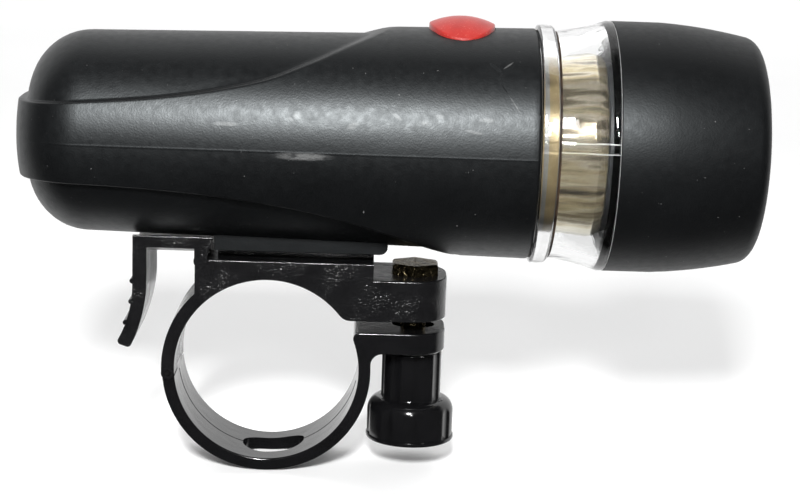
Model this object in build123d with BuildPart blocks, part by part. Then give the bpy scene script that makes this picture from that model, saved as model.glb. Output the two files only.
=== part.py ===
from build123d import *
import os
from math import cos, radians, sin, sqrt, tan

# Bike light on a bar clamp, in millimetres.
# The origin is the centre of the bar bore. The bar runs along Y, the beam along +X, and Z is up.

# Bar clamp
BAR_R = 14.1
CLAMP_WIDTH = 14.2
SADDLE_WALL = 2.0
STRAP_WALL = 1.85
DECK_WALL = 2.95
DECK_REAR = -11.1
DECK_FRONT = 15.95
SADDLE_LUG_TOP = 14.5
SADDLE_LUG_BOTTOM = 8.1
STRAP_LUG_TOP = 6.3
STRAP_LUG_BOTTOM = 3.0
LUG_REACH = 4.9
LUG_CORNER_R = 5.4
LUG_MOUTH_R = 2.2
STRAP_MOUTH_R = 1.0
STRAP_CROOK_R = 1.8
STRAP_SLOT_LENGTH = 9.6
STRAP_SLOT_WIDTH = 7.0
STRAP_SLOT_X = 1.0
EDGE_BREAK = 0.3
EDGE_SOFT_R = 0.25

# Clamp hinge
HINGE_Z = -0.9
HINGE_PIN_R = 0.5
KNUCKLE_PROUD = 0.06
KNUCKLE_GAP = 0.12
KNUCKLE_WIDTH = 4.8
KNUCKLE_SIDE_GAP = 0.2

# Clamp bolt, washer and thumb knob
BOLT_REACH = 8.3
BOLT_R = 2.0
BOLT_END = -9.5
BOLT_HEAD_FLATS = 7.0
BOLT_HEAD_HEIGHT = 3.2
BOLT_HEAD_SUNK = 1.5
BOLT_SLOT_LENGTH = 6.6
BOLT_SLOT_WIDTH = 4.6
WASHER_R = 4.4
WASHER_THICKNESS = 0.7
WASHER_GAP = 0.05
KNOB_SHAFT_R = 4.65
KNOB_BASE_R = 6.75
KNOB_LENGTH = 14.0
KNOB_BASE_HEIGHT = 6.5
KNOB_RIM_HEIGHT = 0.6
KNOB_RIM_R = 6.9
KNOB_FLUTES = 8
KNOB_FLUTE_R = 2.4
KNOB_FLUTE_DEPTH = 0.45
KNOB_FLUTE_TURN = 12.0
KNOB_INSERT_R = 3.0
KNOB_INSERT_LENGTH = 12.2
BOLT_END_ROOM = 0.5

# Fits
RUNNING_FIT = 0.05
FREE_GAP = 0.1
SEAM_GAP = 0.05

# Rail on the deck and the foot that slides on it
RAIL_REAR = -8.0
RAIL_LENGTH = 23.9
RAIL_NECK_HALF = 2.5
RAIL_HEAD_HALF = 4.4
RAIL_NECK_HEIGHT = 2.55
RAIL_HEAD_THICKNESS = 1.3
FOOT_REAR = -8.3
FOOT_FRONT_WALL = 2.0
FOOT_HALF_WIDTH = 6.0
FOOT_GAP = 1.25
FOOT_CORNER_R = 1.2

# Release latch
LATCH_PIVOT_X = -10.2
LATCH_PIVOT_DROP = 0.3
LATCH_KNUCKLE_R = 1.1
LATCH_WALL = 2.0
LATCH_STRIP = 1.8
LATCH_NOSE_END = -8.6
LATCH_BARREL_GAP = 0.5
TAB_X = -20.5
TAB_WALL = 2.1
TAB_END_Z = 3.6
TAB_CURL = 2.5
TAB_CURL_START = 12.5
TAB_END_SLANT = 0.7
TAB_END_R = 0.6
TAB_RIB_R = 0.42
TAB_RIB_HEIGHTS = (6.9, 10.2, 13.4)

# Barrel
AXIS_RISE = 18.15
BARREL_FRONT = 39.5
BARREL_FRONT_R = 17.6
BARREL_DRAFT = 1.1
BARREL_LENGTH = 77.35
TAIL_ROUND = 10.5
PANEL_DEPTH = 1.0
PANEL_TAIL_DEPTH = 1.3
BARREL_WALL = 2.0
CAVITY_R = 13.2
FRONT_EDGE_R = 0.5

# Upper and lower edges of the raised side band, seen from the side, from the barrel's front and the lamp axis
TOP_PANEL_EDGE = (
    (-81.5, 5.1),
    (-69.5, 5.9),
    (-54.3, 7.3),
    (-40.9, 9.8),
    (-33.7, 12.5),
    (-28.1, 14.9),
    (-18.0, 18.8),
)
BOTTOM_PANEL_EDGE = (
    (-81.5, -6.2),
    (-69.5, -5.9),
    (-54.3, -6.5),
    (-40.5, -8.0),
    (-30.4, -10.0),
    (-21.0, -13.1),
    (-9.0, -18.2),
)
PANEL_REACH = 30.0

# Switch and button
BUTTON_SETBACK = 11.3
BUTTON_HALF_X = 4.98
BUTTON_HALF_Y = 6.6
BUTTON_RISE = 1.8
BUTTON_CROWN_R_X = 12.3
BUTTON_CROWN_R_Y = 10.3
BUTTON_SEAT = 0.7
BUTTON_FLANGE = 0.8
BUTTON_FLANGE_EDGE = 0.75
BUTTON_EDGE_R = 0.25
BUTTON_TRAVEL = 1.0
PLUNGER_R = 1.6
PLUNGER_LENGTH = 2.9
SWITCH_SIZE = 6.2
SWITCH_HEIGHT = 3.6
SWITCH_TOP_GAP = 0.3
BOARD_THICKNESS = 0.8
SWITCH_BOARD_WIDTH = 12.0
SWITCH_BOARD_END_GAP = 1.2
SWITCH_BOARD_REAR_GAP = 0.4
CARRIER_THICKNESS = 1.2

# Brass contacts
STRIP_WIDTH = 4.0
STRIP_THICKNESS = 0.35
STRIP_GROOVE_DEPTH = 0.55
STRIP_TAIL_DEPTH = 17.0
RING_CONTACT_R = 10.5
RING_CONTACT_WIDTH = 3.0
RING_CONTACT_THICKNESS = 0.3
FRONT_CONTACT_WIDTH = 3.0
SPRING_R = 2.6
SPRING_WIRE_R = 0.35
SPRING_TURNS = 6

# Cells and tray
CELL_R = 5.25
CELL_LENGTH = 44.5
CELL_NUB_R = 1.9
CELL_NUB = 0.8
CELL_GAP = 0.2
TRAY_GAP = 0.3
TAIL_ROOM = 5.4
TRAY_END = 1.5
TRAY_POST_R = 2.1
TRAY_RIB = (1.7, 3.0)
TRAY_CONTACT = 0.4
TRAY_SPRING = 1.8
TERMINAL_R = 4.0
TERMINAL = 0.5

# Head: clear ring, seal, bezel, lens, reflector, board and LEDs
SPIGOT_LENGTH = 4.7
SPIGOT_R = 15.1
SPIGOT_BORE_R = 13.5
SEAL_SECTION_R = 0.5
SEAL_SETBACK = 1.3
CLEAR_LENGTH = 11.3
BEAD_RISE = 0.6
BEAD_LENGTH = 2.6
BEAD_FOOT_DROP = 0.5
GROOVE_DROP = 0.3
FLARE_MID_DROP = 1.15
CLEAR_RIM = 0.8
CLEAR_WALL = 2.2
CLEAR_FLOOR = 1.6
NECK_LENGTH = 5.2
BEZEL_LENGTH = 22.3
BEZEL_R = 19.1
BEZEL_STRAIGHT = 7.2
BEZEL_WALL = 1.45
BEZEL_WAIST = (14.4, 0.68)
BEZEL_SHOULDER = (20.3, 1.75)
BEZEL_NOSE = (21.75, 2.6)
BEZEL_FACE_DROP = 3.8
BEZEL_LIP_DEPTH = 1.5
BEZEL_LIP = 1.55
BEZEL_MOUTH_CHAMFER = 0.5
LENS_SEAT = 1.7
LENS_THICKNESS = 1.6
GASKET_THICKNESS = 0.8
GASKET_WIDTH = 1.2
REFLECTOR_REAR = 2.1
REFLECTOR_SKIRT_GAP = 1.5
REFLECTOR_SKIRT_WALL = 1.0
REFLECTOR_FLOOR_SETBACK = 12.2
REFLECTOR_FLOOR = 1.1
REFLECTOR_RIM = 3.0
CUP_HOLE_R = 2.65
CUP_BULGE = (3.6, 0.7)
CUP_WALL = 0.15
CUP_EDGE = 1.05
CUP_COUNT = 4
LED_R = 2.5
LED_FLANGE_R = 2.9
LED_FLANGE = 1.0
LED_LENGTH = 8.6
LED_BOARD_GAP = 2.3
LED_BOARD_THICKNESS = 1.6
CONTACT_PLATE_THICKNESS = 1.4
LEAD_R = 0.55
LEAD_SPREAD = 4.0

# Derived places
DECK_TOP = BAR_R + DECK_WALL
RAIL_HEAD_BOTTOM = DECK_TOP + RAIL_NECK_HEIGHT
FOOT_BOTTOM = DECK_TOP + FOOT_GAP
AXIS_Z = DECK_TOP + AXIS_RISE
BOLT_X = BAR_R + BOLT_REACH
LUG_END = BOLT_X + LUG_REACH
KNUCKLE_R = (SADDLE_WALL + STRAP_WALL) / 4 + KNUCKLE_PROUD
BEAD_R = BARREL_FRONT_R + BEAD_RISE
BEAD_FOOT_R = BARREL_FRONT_R - BEAD_FOOT_DROP
GROOVE_R = BARREL_FRONT_R - GROOVE_DROP
TRAY_R = CAVITY_R - TRAY_GAP
BUTTON_CROWN = BARREL_FRONT_R + BUTTON_RISE
BUTTON_BASE = CAVITY_R + BUTTON_SEAT
STRIP_GROOVE_TOP = CAVITY_R + STRIP_GROOVE_DEPTH
CELL_SPACING = 2 * CELL_R + CELL_GAP
LAMP_AXIS = Axis((0, 0, AXIS_Z), (1, 0, 0))
BOLT_AXIS = Axis((BOLT_X, 0, 0), (0, 0, 1))
HINGE_X = -(BAR_R + (SADDLE_WALL + STRAP_WALL) / 4)
LATCH_PIVOT_Z = DECK_TOP - LATCH_PIVOT_DROP
BARREL_TAIL = BARREL_FRONT - BARREL_LENGTH
BUTTON_X = BARREL_FRONT - BUTTON_SETBACK
NECK_R = BEZEL_R - BEZEL_WALL - RUNNING_FIT
CLEAR_BORE_R = NECK_R - CLEAR_WALL
LENS_R = NECK_R - LENS_SEAT
BEZEL_OPENING_R = LENS_R - BEZEL_LIP_DEPTH
REFLECTOR_SKIRT_R = CLEAR_BORE_R - REFLECTOR_SKIRT_GAP
CUP_R = (LENS_R - CUP_EDGE - CUP_WALL) / 3
CUP_RING_R = 2 * CUP_R + CUP_WALL
PANEL_TAIL = BARREL_TAIL + PANEL_TAIL_DEPTH
PANEL_ROUND = TAIL_ROUND - PANEL_TAIL_DEPTH
RAIL_FRONT = RAIL_REAR + RAIL_LENGTH
RAIL_HEAD_TOP = RAIL_HEAD_BOTTOM + RAIL_HEAD_THICKNESS
FOOT_FRONT = RAIL_FRONT + FREE_GAP + FOOT_FRONT_WALL
KNOB_TOP = STRAP_LUG_BOTTOM - WASHER_GAP - WASHER_THICKNESS - RUNNING_FIT
KNOB_BOTTOM = KNOB_TOP - KNOB_LENGTH
SPIGOT_REAR = BARREL_FRONT - SPIGOT_LENGTH
CLEAR_REAR = BARREL_FRONT + SEAM_GAP
CLEAR_FRONT = BARREL_FRONT + CLEAR_LENGTH
BEZEL_REAR = CLEAR_FRONT + SEAM_GAP
BEZEL_FRONT = BEZEL_REAR + BEZEL_LENGTH
LENS_FRONT = BEZEL_FRONT - BEZEL_LIP - GASKET_THICKNESS
LENS_REAR = LENS_FRONT - LENS_THICKNESS
REFLECTOR_FRONT = LENS_REAR - SEAM_GAP
REFLECTOR_FLOOR_X = REFLECTOR_FRONT - REFLECTOR_FLOOR_SETBACK
LED_BASE = REFLECTOR_FLOOR_X - LED_BOARD_GAP
LED_BOARD_REAR = LED_BASE - LED_BOARD_THICKNESS
CONTACT_PLATE_REAR = SPIGOT_REAR + FREE_GAP + RING_CONTACT_THICKNESS
RING_CONTACT_REAR = CONTACT_PLATE_REAR - RING_CONTACT_THICKNESS
SWITCH_TOP = BUTTON_BASE - BUTTON_TRAVEL - SWITCH_TOP_GAP
SWITCH_BOARD_TOP = SWITCH_TOP - SWITCH_HEIGHT
CARRIER_TOP = SWITCH_BOARD_TOP - BOARD_THICKNESS
TRAY_REAR = PANEL_TAIL + BARREL_WALL + TAIL_ROOM
STRIP_REAR = TRAY_REAR - TERMINAL - STRIP_THICKNESS
CELL_REAR = TRAY_REAR + TRAY_END + TRAY_CONTACT + TRAY_SPRING
CELL_FRONT = CELL_REAR + CELL_LENGTH
TRAY_FRONT = CELL_FRONT + TRAY_CONTACT + TRAY_END
BOARD_REAR = TRAY_FRONT + TERMINAL + SWITCH_BOARD_REAR_GAP
BOARD_FRONT = SPIGOT_REAR - SWITCH_BOARD_END_GAP


def barrel_radius(x):
    """Radius of the raised, drafted barrel surface at a place along the beam."""
    return BARREL_FRONT_R - (BARREL_FRONT - x) * tan(radians(BARREL_DRAFT))


def at_axis(x, r):
    """A profile point at a distance along the beam and a radius from the lamp axis."""
    return (x, AXIS_Z + r)


def tube(rear, front, outer, inner=0.0):
    """A plain ring or disc about the lamp axis, between two places along the beam."""
    with BuildPart() as ring:
        with BuildSketch(Plane.YZ.offset(rear)):
            with Locations((0, AXIS_Z)):
                Circle(outer)
                if inner:
                    Circle(inner, mode=Mode.SUBTRACT)
        extrude(amount=front - rear)
    return ring.part


def cavity_body(rear, front, radius, corner):
    """A plain round space with its rear edge rounded."""
    with BuildPart() as body:
        add(tube(rear, front, radius))
        fillet(body.edges().filter_by(GeomType.CIRCLE).sort_by(Axis.X)[0], corner)
    return body.part


def drafted_body(tail, inset, corner):
    """The barrel's outer form, set in from the raised surface by one depth all round."""
    with BuildPart() as body:
        with BuildSketch(Plane.XZ):
            with BuildLine():
                Polyline(
                    at_axis(tail, 0),
                    at_axis(tail, barrel_radius(tail) - inset),
                    at_axis(BARREL_FRONT, BARREL_FRONT_R - inset),
                    at_axis(BARREL_FRONT, 0),
                    close=True,
                )
            make_face()
        revolve(axis=LAMP_AXIS)
        fillet(body.edges().filter_by(GeomType.CIRCLE).sort_by(Axis.X)[0], corner)
    return body.part


def rail_section(gap):
    """The T-shaped section of the deck's rail, grown by a gap on every side for the slot round it."""
    head = 2 * (RAIL_HEAD_HALF + gap)
    neck = 2 * (RAIL_NECK_HALF + gap)
    with BuildSketch() as section:
        with Locations((0, RAIL_HEAD_BOTTOM - gap)):
            Rectangle(head, RAIL_HEAD_THICKNESS + 2 * gap, align=(Align.CENTER, Align.MIN))
        with Locations((0, DECK_TOP)):
            Rectangle(neck, RAIL_HEAD_TOP - DECK_TOP, align=(Align.CENTER, Align.MIN))
    return section.sketch


def latch_strip(top_r):
    """The latch's strip: a slice of a ring about the lamp axis, as wide as the clamp."""
    with BuildPart() as strip:
        with BuildSketch(Plane.YZ.offset(TAB_X)):
            Rectangle(CLAMP_WIDTH, AXIS_Z, align=(Align.CENTER, Align.MIN))
        extrude(amount=LATCH_NOSE_END - TAB_X)
        add(tube(TAB_X, LATCH_NOSE_END, top_r + LATCH_STRIP), mode=Mode.INTERSECT)
    return strip.part


def cup_space():
    """The room inside the reflector's middle cup, with the hole for its LED."""
    cup_floor = REFLECTOR_FLOOR_X + REFLECTOR_FLOOR
    with BuildPart() as cup:
        with BuildSketch(Plane.XZ):
            with BuildLine():
                Polyline(
                    at_axis(REFLECTOR_FRONT, CUP_R),
                    at_axis(REFLECTOR_FRONT, 0),
                    at_axis(REFLECTOR_FLOOR_X, 0),
                    at_axis(REFLECTOR_FLOOR_X, CUP_HOLE_R),
                    at_axis(cup_floor, CUP_HOLE_R),
                )
                ThreePointArc(
                    at_axis(cup_floor, CUP_HOLE_R),
                    at_axis(cup_floor + CUP_BULGE[0], CUP_R - CUP_BULGE[1]),
                    at_axis(REFLECTOR_FRONT, CUP_R),
                )
            make_face()
        revolve(axis=LAMP_AXIS)
    return cup.part


def tab_face(z):
    """The tab's outer face curls away from the clamp below its straight part."""
    curl = max(0.0, (TAB_CURL_START - z) / (TAB_CURL_START - TAB_END_Z))
    return TAB_X - TAB_CURL * curl**2


def soften(piece, wanted):
    """Rounds the wanted rims of both side faces of a clamp piece, as its mould does."""
    sides = piece.faces().filter_by(Axis.Y).group_by(Axis.Y)
    rims = ShapeList(edge for face in (*sides[0], *sides[-1]) for edge in face.edges())
    fillet(rims.filter_by(Axis.Z, reverse=True).filter_by(wanted), EDGE_SOFT_R)


def away_from_hinge(edge):
    """True for a rim that doesn't run round the clamp's knuckle."""
    return edge.center().X > 0 or abs(edge.center().Z - HINGE_Z) > KNUCKLE_R + KNUCKLE_GAP


def save(piece, name):
    """Labels a finished piece and writes it under its node's name."""
    piece.part.label = name
    export_step(piece.part, f"parts/{name}.step")


os.makedirs("parts", exist_ok=True)

# Barrel: a drafted body with two panels sunk in it, a foot below and the cell cavity inside.
# The rail's slot runs on as a shallow channel to the tail, so that the light slides off forwards.
with BuildPart() as barrel:
    add(drafted_body(BARREL_TAIL, 0, TAIL_ROUND))
    for edge_points, side in ((TOP_PANEL_EDGE, 1), (BOTTOM_PANEL_EDGE, -1)):
        with BuildSketch(Plane.XZ):
            with BuildLine():
                front_end = BARREL_FRONT + edge_points[-1][0]
                rear_end = BARREL_FRONT + edge_points[0][0]
                Spline(*[at_axis(BARREL_FRONT + x, z) for x, z in edge_points])
                Polyline(
                    at_axis(front_end, edge_points[-1][1]),
                    at_axis(front_end, side * PANEL_REACH),
                    at_axis(rear_end, side * PANEL_REACH),
                    at_axis(rear_end, edge_points[0][1]),
                )
            make_face()
        extrude(amount=PANEL_REACH, both=True, mode=Mode.SUBTRACT)
    add(drafted_body(PANEL_TAIL, PANEL_DEPTH, PANEL_ROUND))
    fillet(barrel.edges().filter_by(GeomType.CIRCLE).sort_by(Axis.X)[-1], FRONT_EDGE_R)
    with BuildSketch(Plane.XZ):
        with BuildLine():
            Polyline(
                (FOOT_REAR, AXIS_Z - CAVITY_R),
                (FOOT_REAR, FOOT_BOTTOM),
                (FOOT_FRONT - FOOT_CORNER_R, FOOT_BOTTOM),
            )
            RadiusArc(
                (FOOT_FRONT - FOOT_CORNER_R, FOOT_BOTTOM),
                (FOOT_FRONT, FOOT_BOTTOM + FOOT_CORNER_R),
                -FOOT_CORNER_R,
            )
            Polyline(
                (FOOT_FRONT, FOOT_BOTTOM + FOOT_CORNER_R),
                (FOOT_FRONT, AXIS_Z - CAVITY_R),
                (FOOT_REAR, AXIS_Z - CAVITY_R),
            )
        make_face()
    extrude(amount=FOOT_HALF_WIDTH, both=True)
    cavity_round = PANEL_ROUND - BARREL_WALL
    add(cavity_body(PANEL_TAIL + BARREL_WALL, BARREL_FRONT, CAVITY_R, cavity_round), mode=Mode.SUBTRACT)
    add(tube(SPIGOT_REAR - FREE_GAP, BARREL_FRONT, SPIGOT_R + FREE_GAP), mode=Mode.SUBTRACT)
    with BuildSketch(Plane.YZ.offset(BARREL_TAIL)):
        add(rail_section(FREE_GAP))
    extrude(amount=RAIL_FRONT + FREE_GAP - BARREL_TAIL, mode=Mode.SUBTRACT)
    with BuildSketch(Plane.XY.offset(AXIS_Z)):
        with Locations((BUTTON_X, 0)):
            Ellipse(BUTTON_HALF_X + FREE_GAP, BUTTON_HALF_Y + FREE_GAP)
    extrude(amount=BARREL_FRONT_R + 1, mode=Mode.SUBTRACT)
    with BuildSketch(Plane.XY.offset(AXIS_Z)):
        with Locations((BUTTON_X, 0)):
            Ellipse(BUTTON_HALF_X + BUTTON_FLANGE + FREE_GAP, BUTTON_HALF_Y + BUTTON_FLANGE + FREE_GAP)
    extrude(amount=BUTTON_BASE + BUTTON_FLANGE_EDGE + RUNNING_FIT, mode=Mode.SUBTRACT)
    with BuildSketch(Plane.XY.offset(AXIS_Z)):
        with Locations((STRIP_REAR - FREE_GAP, 0)):
            Rectangle(BUTTON_X - STRIP_REAR, STRIP_WIDTH + 2 * FREE_GAP, align=(Align.MIN, Align.CENTER))
    extrude(amount=STRIP_GROOVE_TOP, mode=Mode.SUBTRACT)
save(barrel, "barrel")

# Button: an oval cap with a crowned top, and a flange below that holds it in the barrel
with BuildPart() as switch_button:
    with BuildSketch(Plane.XY.offset(AXIS_Z + BUTTON_BASE)):
        with Locations((BUTTON_X, 0)):
            Ellipse(BUTTON_HALF_X, BUTTON_HALF_Y)
    extrude(amount=BUTTON_CROWN - BUTTON_BASE + 1)
    with BuildSketch(Plane.XZ):
        with BuildLine():
            crown_axis = BUTTON_CROWN - BUTTON_CROWN_R_Y
            half = BUTTON_HALF_X + BUTTON_FLANGE + 1
            shoulder = BUTTON_CROWN - BUTTON_CROWN_R_X + sqrt(BUTTON_CROWN_R_X**2 - half**2)
            ThreePointArc(
                at_axis(BUTTON_X - half, shoulder),
                at_axis(BUTTON_X, BUTTON_CROWN),
                at_axis(BUTTON_X + half, shoulder),
            )
            Polyline(
                at_axis(BUTTON_X + half, shoulder),
                at_axis(BUTTON_X + half, crown_axis),
                at_axis(BUTTON_X - half, crown_axis),
                at_axis(BUTTON_X - half, shoulder),
            )
        make_face()
    revolve(axis=Axis((0, 0, AXIS_Z + crown_axis), (1, 0, 0)), mode=Mode.INTERSECT)
    fillet(switch_button.faces().sort_by(Axis.Z)[-1].edges(), BUTTON_EDGE_R)
    with BuildSketch(Plane.XY.offset(AXIS_Z + BUTTON_BASE)):
        with Locations((BUTTON_X, 0)):
            Ellipse(BUTTON_HALF_X + BUTTON_FLANGE, BUTTON_HALF_Y + BUTTON_FLANGE)
    extrude(amount=BUTTON_FLANGE_EDGE)
save(switch_button, "switch_button")

# Switch under the button: plunger, body, board, and the carrier that spans the cavity
with BuildPart() as switch_plunger:
    with BuildSketch(Plane.XY.offset(AXIS_Z + BUTTON_BASE)):
        with Locations((BUTTON_X, 0)):
            Circle(PLUNGER_R)
    extrude(amount=-PLUNGER_LENGTH)
save(switch_plunger, "switch_plunger")

with BuildPart() as switch_body:
    with BuildSketch(Plane.XY.offset(AXIS_Z + SWITCH_BOARD_TOP)):
        with Locations((BUTTON_X, 0)):
            Rectangle(SWITCH_SIZE, SWITCH_SIZE)
            Circle(PLUNGER_R + FREE_GAP, mode=Mode.SUBTRACT)
    extrude(amount=SWITCH_HEIGHT)
    chamfer(switch_body.edges().filter_by(Axis.Z), EDGE_BREAK)
save(switch_body, "switch_body")

with BuildPart() as switch_board:
    with BuildSketch(Plane.XY.offset(AXIS_Z + CARRIER_TOP)):
        with Locations(((BOARD_REAR + BOARD_FRONT) / 2, 0)):
            Rectangle(BOARD_FRONT - BOARD_REAR, SWITCH_BOARD_WIDTH)
    extrude(amount=BOARD_THICKNESS)
save(switch_board, "switch_board")

with BuildPart() as switch_carrier:
    with BuildSketch(Plane.XY.offset(AXIS_Z + CARRIER_TOP)):
        with Locations(((BOARD_REAR + BOARD_FRONT) / 2, 0)):
            Rectangle(BOARD_FRONT - BOARD_REAR, 2 * CAVITY_R)
    extrude(amount=-CARRIER_THICKNESS)
    add(tube(BOARD_REAR, BOARD_FRONT, CAVITY_R), mode=Mode.INTERSECT)
save(switch_carrier, "switch_carrier")

# Brass strip from the tail of the tray along the barrel's groove and down to the switch board
with BuildPart() as contact_strip:
    with BuildSketch(Plane.XZ):
        with BuildLine():
            strip_top = STRIP_GROOVE_TOP - FREE_GAP
            strip_under = strip_top - STRIP_THICKNESS
            front_leg = BOARD_REAR
            Polyline(
                at_axis(STRIP_REAR, strip_top - STRIP_TAIL_DEPTH),
                at_axis(STRIP_REAR, strip_top),
                at_axis(front_leg + STRIP_THICKNESS, strip_top),
                at_axis(front_leg + STRIP_THICKNESS, SWITCH_BOARD_TOP),
                at_axis(front_leg, SWITCH_BOARD_TOP),
                at_axis(front_leg, strip_under),
                at_axis(STRIP_REAR + STRIP_THICKNESS, strip_under),
                at_axis(STRIP_REAR + STRIP_THICKNESS, strip_top - STRIP_TAIL_DEPTH),
                close=True,
            )
        make_face()
    extrude(amount=STRIP_WIDTH / 2, both=True)
save(contact_strip, "contact_strip")

with BuildPart() as front_contact:
    with BuildSketch(Plane.XZ):
        with BuildLine():
            tip = RING_CONTACT_REAR - RUNNING_FIT
            ring_middle = RING_CONTACT_R - RING_CONTACT_WIDTH / 2
            Polyline(
                at_axis(BUTTON_X + SWITCH_SIZE / 2 + FREE_GAP, SWITCH_BOARD_TOP),
                at_axis(tip, SWITCH_BOARD_TOP),
                at_axis(tip, ring_middle + RING_CONTACT_WIDTH / 4),
                at_axis(tip - STRIP_THICKNESS, ring_middle + RING_CONTACT_WIDTH / 4),
                at_axis(tip - STRIP_THICKNESS, SWITCH_BOARD_TOP + STRIP_THICKNESS),
                at_axis(BUTTON_X + SWITCH_SIZE / 2 + FREE_GAP, SWITCH_BOARD_TOP + STRIP_THICKNESS),
                close=True,
            )
        make_face()
    extrude(amount=FRONT_CONTACT_WIDTH / 2, both=True)
save(front_contact, "front_contact")

# Cell tray: two end discs joined by a post and four ribs between the cells
with BuildPart() as battery_tray:
    add(tube(TRAY_REAR, TRAY_REAR + TRAY_END, TRAY_R))
    add(tube(TRAY_FRONT - TRAY_END, TRAY_FRONT, TRAY_R))
    add(tube(TRAY_REAR, TRAY_FRONT, TRAY_POST_R))
    with BuildSketch(Plane.YZ.offset(TRAY_REAR)):
        with Locations((0, AXIS_Z)):
            with PolarLocations(TRAY_R - TRAY_RIB[0] / 2 - FREE_GAP, 4):
                Rectangle(*TRAY_RIB)
    extrude(amount=TRAY_FRONT - TRAY_REAR)
save(battery_tray, "battery_tray")

# Cells lie two up, two down, each turned end for end from the one beside it
cell_places = [(CELL_SPACING / 2, CELL_SPACING / 2), (-CELL_SPACING / 2, CELL_SPACING / 2)]
cell_places += [(-y, -z) for y, z in cell_places]
for number, (y, z) in enumerate(cell_places, start=1):
    faces_front = number % 2 == 1
    can_start = CELL_REAR if faces_front else CELL_REAR + CELL_NUB
    nub_start = CELL_FRONT - CELL_NUB if faces_front else CELL_REAR
    with BuildPart() as cell:
        with BuildSketch(Plane.YZ.offset(can_start)):
            with Locations((y, AXIS_Z + z)):
                Circle(CELL_R)
        extrude(amount=CELL_LENGTH - CELL_NUB)
        fillet(cell.edges().filter_by(GeomType.CIRCLE), EDGE_BREAK)
        with BuildSketch(Plane.YZ.offset(nub_start)):
            with Locations((y, AXIS_Z + z)):
                Circle(CELL_NUB_R)
        extrude(amount=CELL_NUB)
    save(cell, f"cell_{number}")

# Tray contacts: a plate inside each end disc, and a terminal outside it
with BuildPart() as tray_contacts:
    for plate in (TRAY_REAR + TRAY_END, CELL_FRONT):
        with BuildSketch(Plane.YZ.offset(plate)):
            with Locations((0, AXIS_Z)):
                Circle(TRAY_R - TRAY_RIB[0] - 2 * FREE_GAP)
                Circle(TRAY_POST_R + FREE_GAP, mode=Mode.SUBTRACT)
        extrude(amount=TRAY_CONTACT)
    for terminal in (TRAY_REAR - TERMINAL, TRAY_FRONT):
        add(tube(terminal, terminal + TERMINAL, TERMINAL_R))
save(tray_contacts, "tray_contacts")

with BuildPart() as tray_springs:
    with BuildSketch(Plane.YZ.offset(TRAY_REAR + TRAY_END + TRAY_CONTACT)):
        with Locations(*[(y, AXIS_Z + z) for y, z in cell_places]):
            Circle(CELL_R - 1)
            Circle(CELL_R - 2, mode=Mode.SUBTRACT)
    extrude(amount=TRAY_SPRING)
save(tray_springs, "tray_springs")

# O-ring in its groove behind the clear ring's shoulder
seal_x = BARREL_FRONT - SEAL_SETBACK
seal_ring_r = SPIGOT_R - SEAL_SECTION_R
with BuildPart() as head_seal:
    with BuildSketch(Plane.XZ):
        with Locations(at_axis(seal_x, seal_ring_r)):
            Circle(SEAL_SECTION_R)
    revolve(axis=LAMP_AXIS)
save(head_seal, "head_seal")

# Clear ring: spigot, bead, flare and the neck that the bezel is pressed on
with BuildPart() as clear_ring:
    with BuildSketch(Plane.XZ):
        with BuildLine():
            bead_end = CLEAR_REAR + BEAD_LENGTH
            flare_end = CLEAR_FRONT - CLEAR_RIM
            neck_front = CLEAR_FRONT + NECK_LENGTH
            groove_half = SEAL_SECTION_R + FREE_GAP
            groove_floor = SPIGOT_R - 2 * SEAL_SECTION_R - FREE_GAP
            Polyline(
                at_axis(SPIGOT_REAR, SPIGOT_BORE_R),
                at_axis(SPIGOT_REAR, SPIGOT_R),
                at_axis(seal_x - groove_half, SPIGOT_R),
                at_axis(seal_x - groove_half, groove_floor),
                at_axis(seal_x + groove_half, groove_floor),
                at_axis(seal_x + groove_half, SPIGOT_R),
                at_axis(CLEAR_REAR, SPIGOT_R),
                at_axis(CLEAR_REAR, BEAD_FOOT_R),
            )
            ThreePointArc(
                at_axis(CLEAR_REAR, BEAD_FOOT_R),
                at_axis(CLEAR_REAR + BEAD_LENGTH / 2, BEAD_R),
                at_axis(bead_end, GROOVE_R),
            )
            ThreePointArc(
                at_axis(bead_end, GROOVE_R),
                at_axis((bead_end + flare_end) / 2, BEZEL_R - FLARE_MID_DROP),
                at_axis(flare_end, BEZEL_R),
            )
            Polyline(
                at_axis(flare_end, BEZEL_R),
                at_axis(CLEAR_FRONT, BEZEL_R),
                at_axis(CLEAR_FRONT, NECK_R),
                at_axis(neck_front, NECK_R),
                at_axis(neck_front, CLEAR_BORE_R),
                at_axis(CLEAR_REAR + CLEAR_FLOOR, CLEAR_BORE_R),
                at_axis(CLEAR_REAR + CLEAR_FLOOR, SPIGOT_BORE_R),
                at_axis(SPIGOT_REAR, SPIGOT_BORE_R),
            )
        make_face()
    revolve(axis=LAMP_AXIS)
save(clear_ring, "clear_ring")

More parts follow.
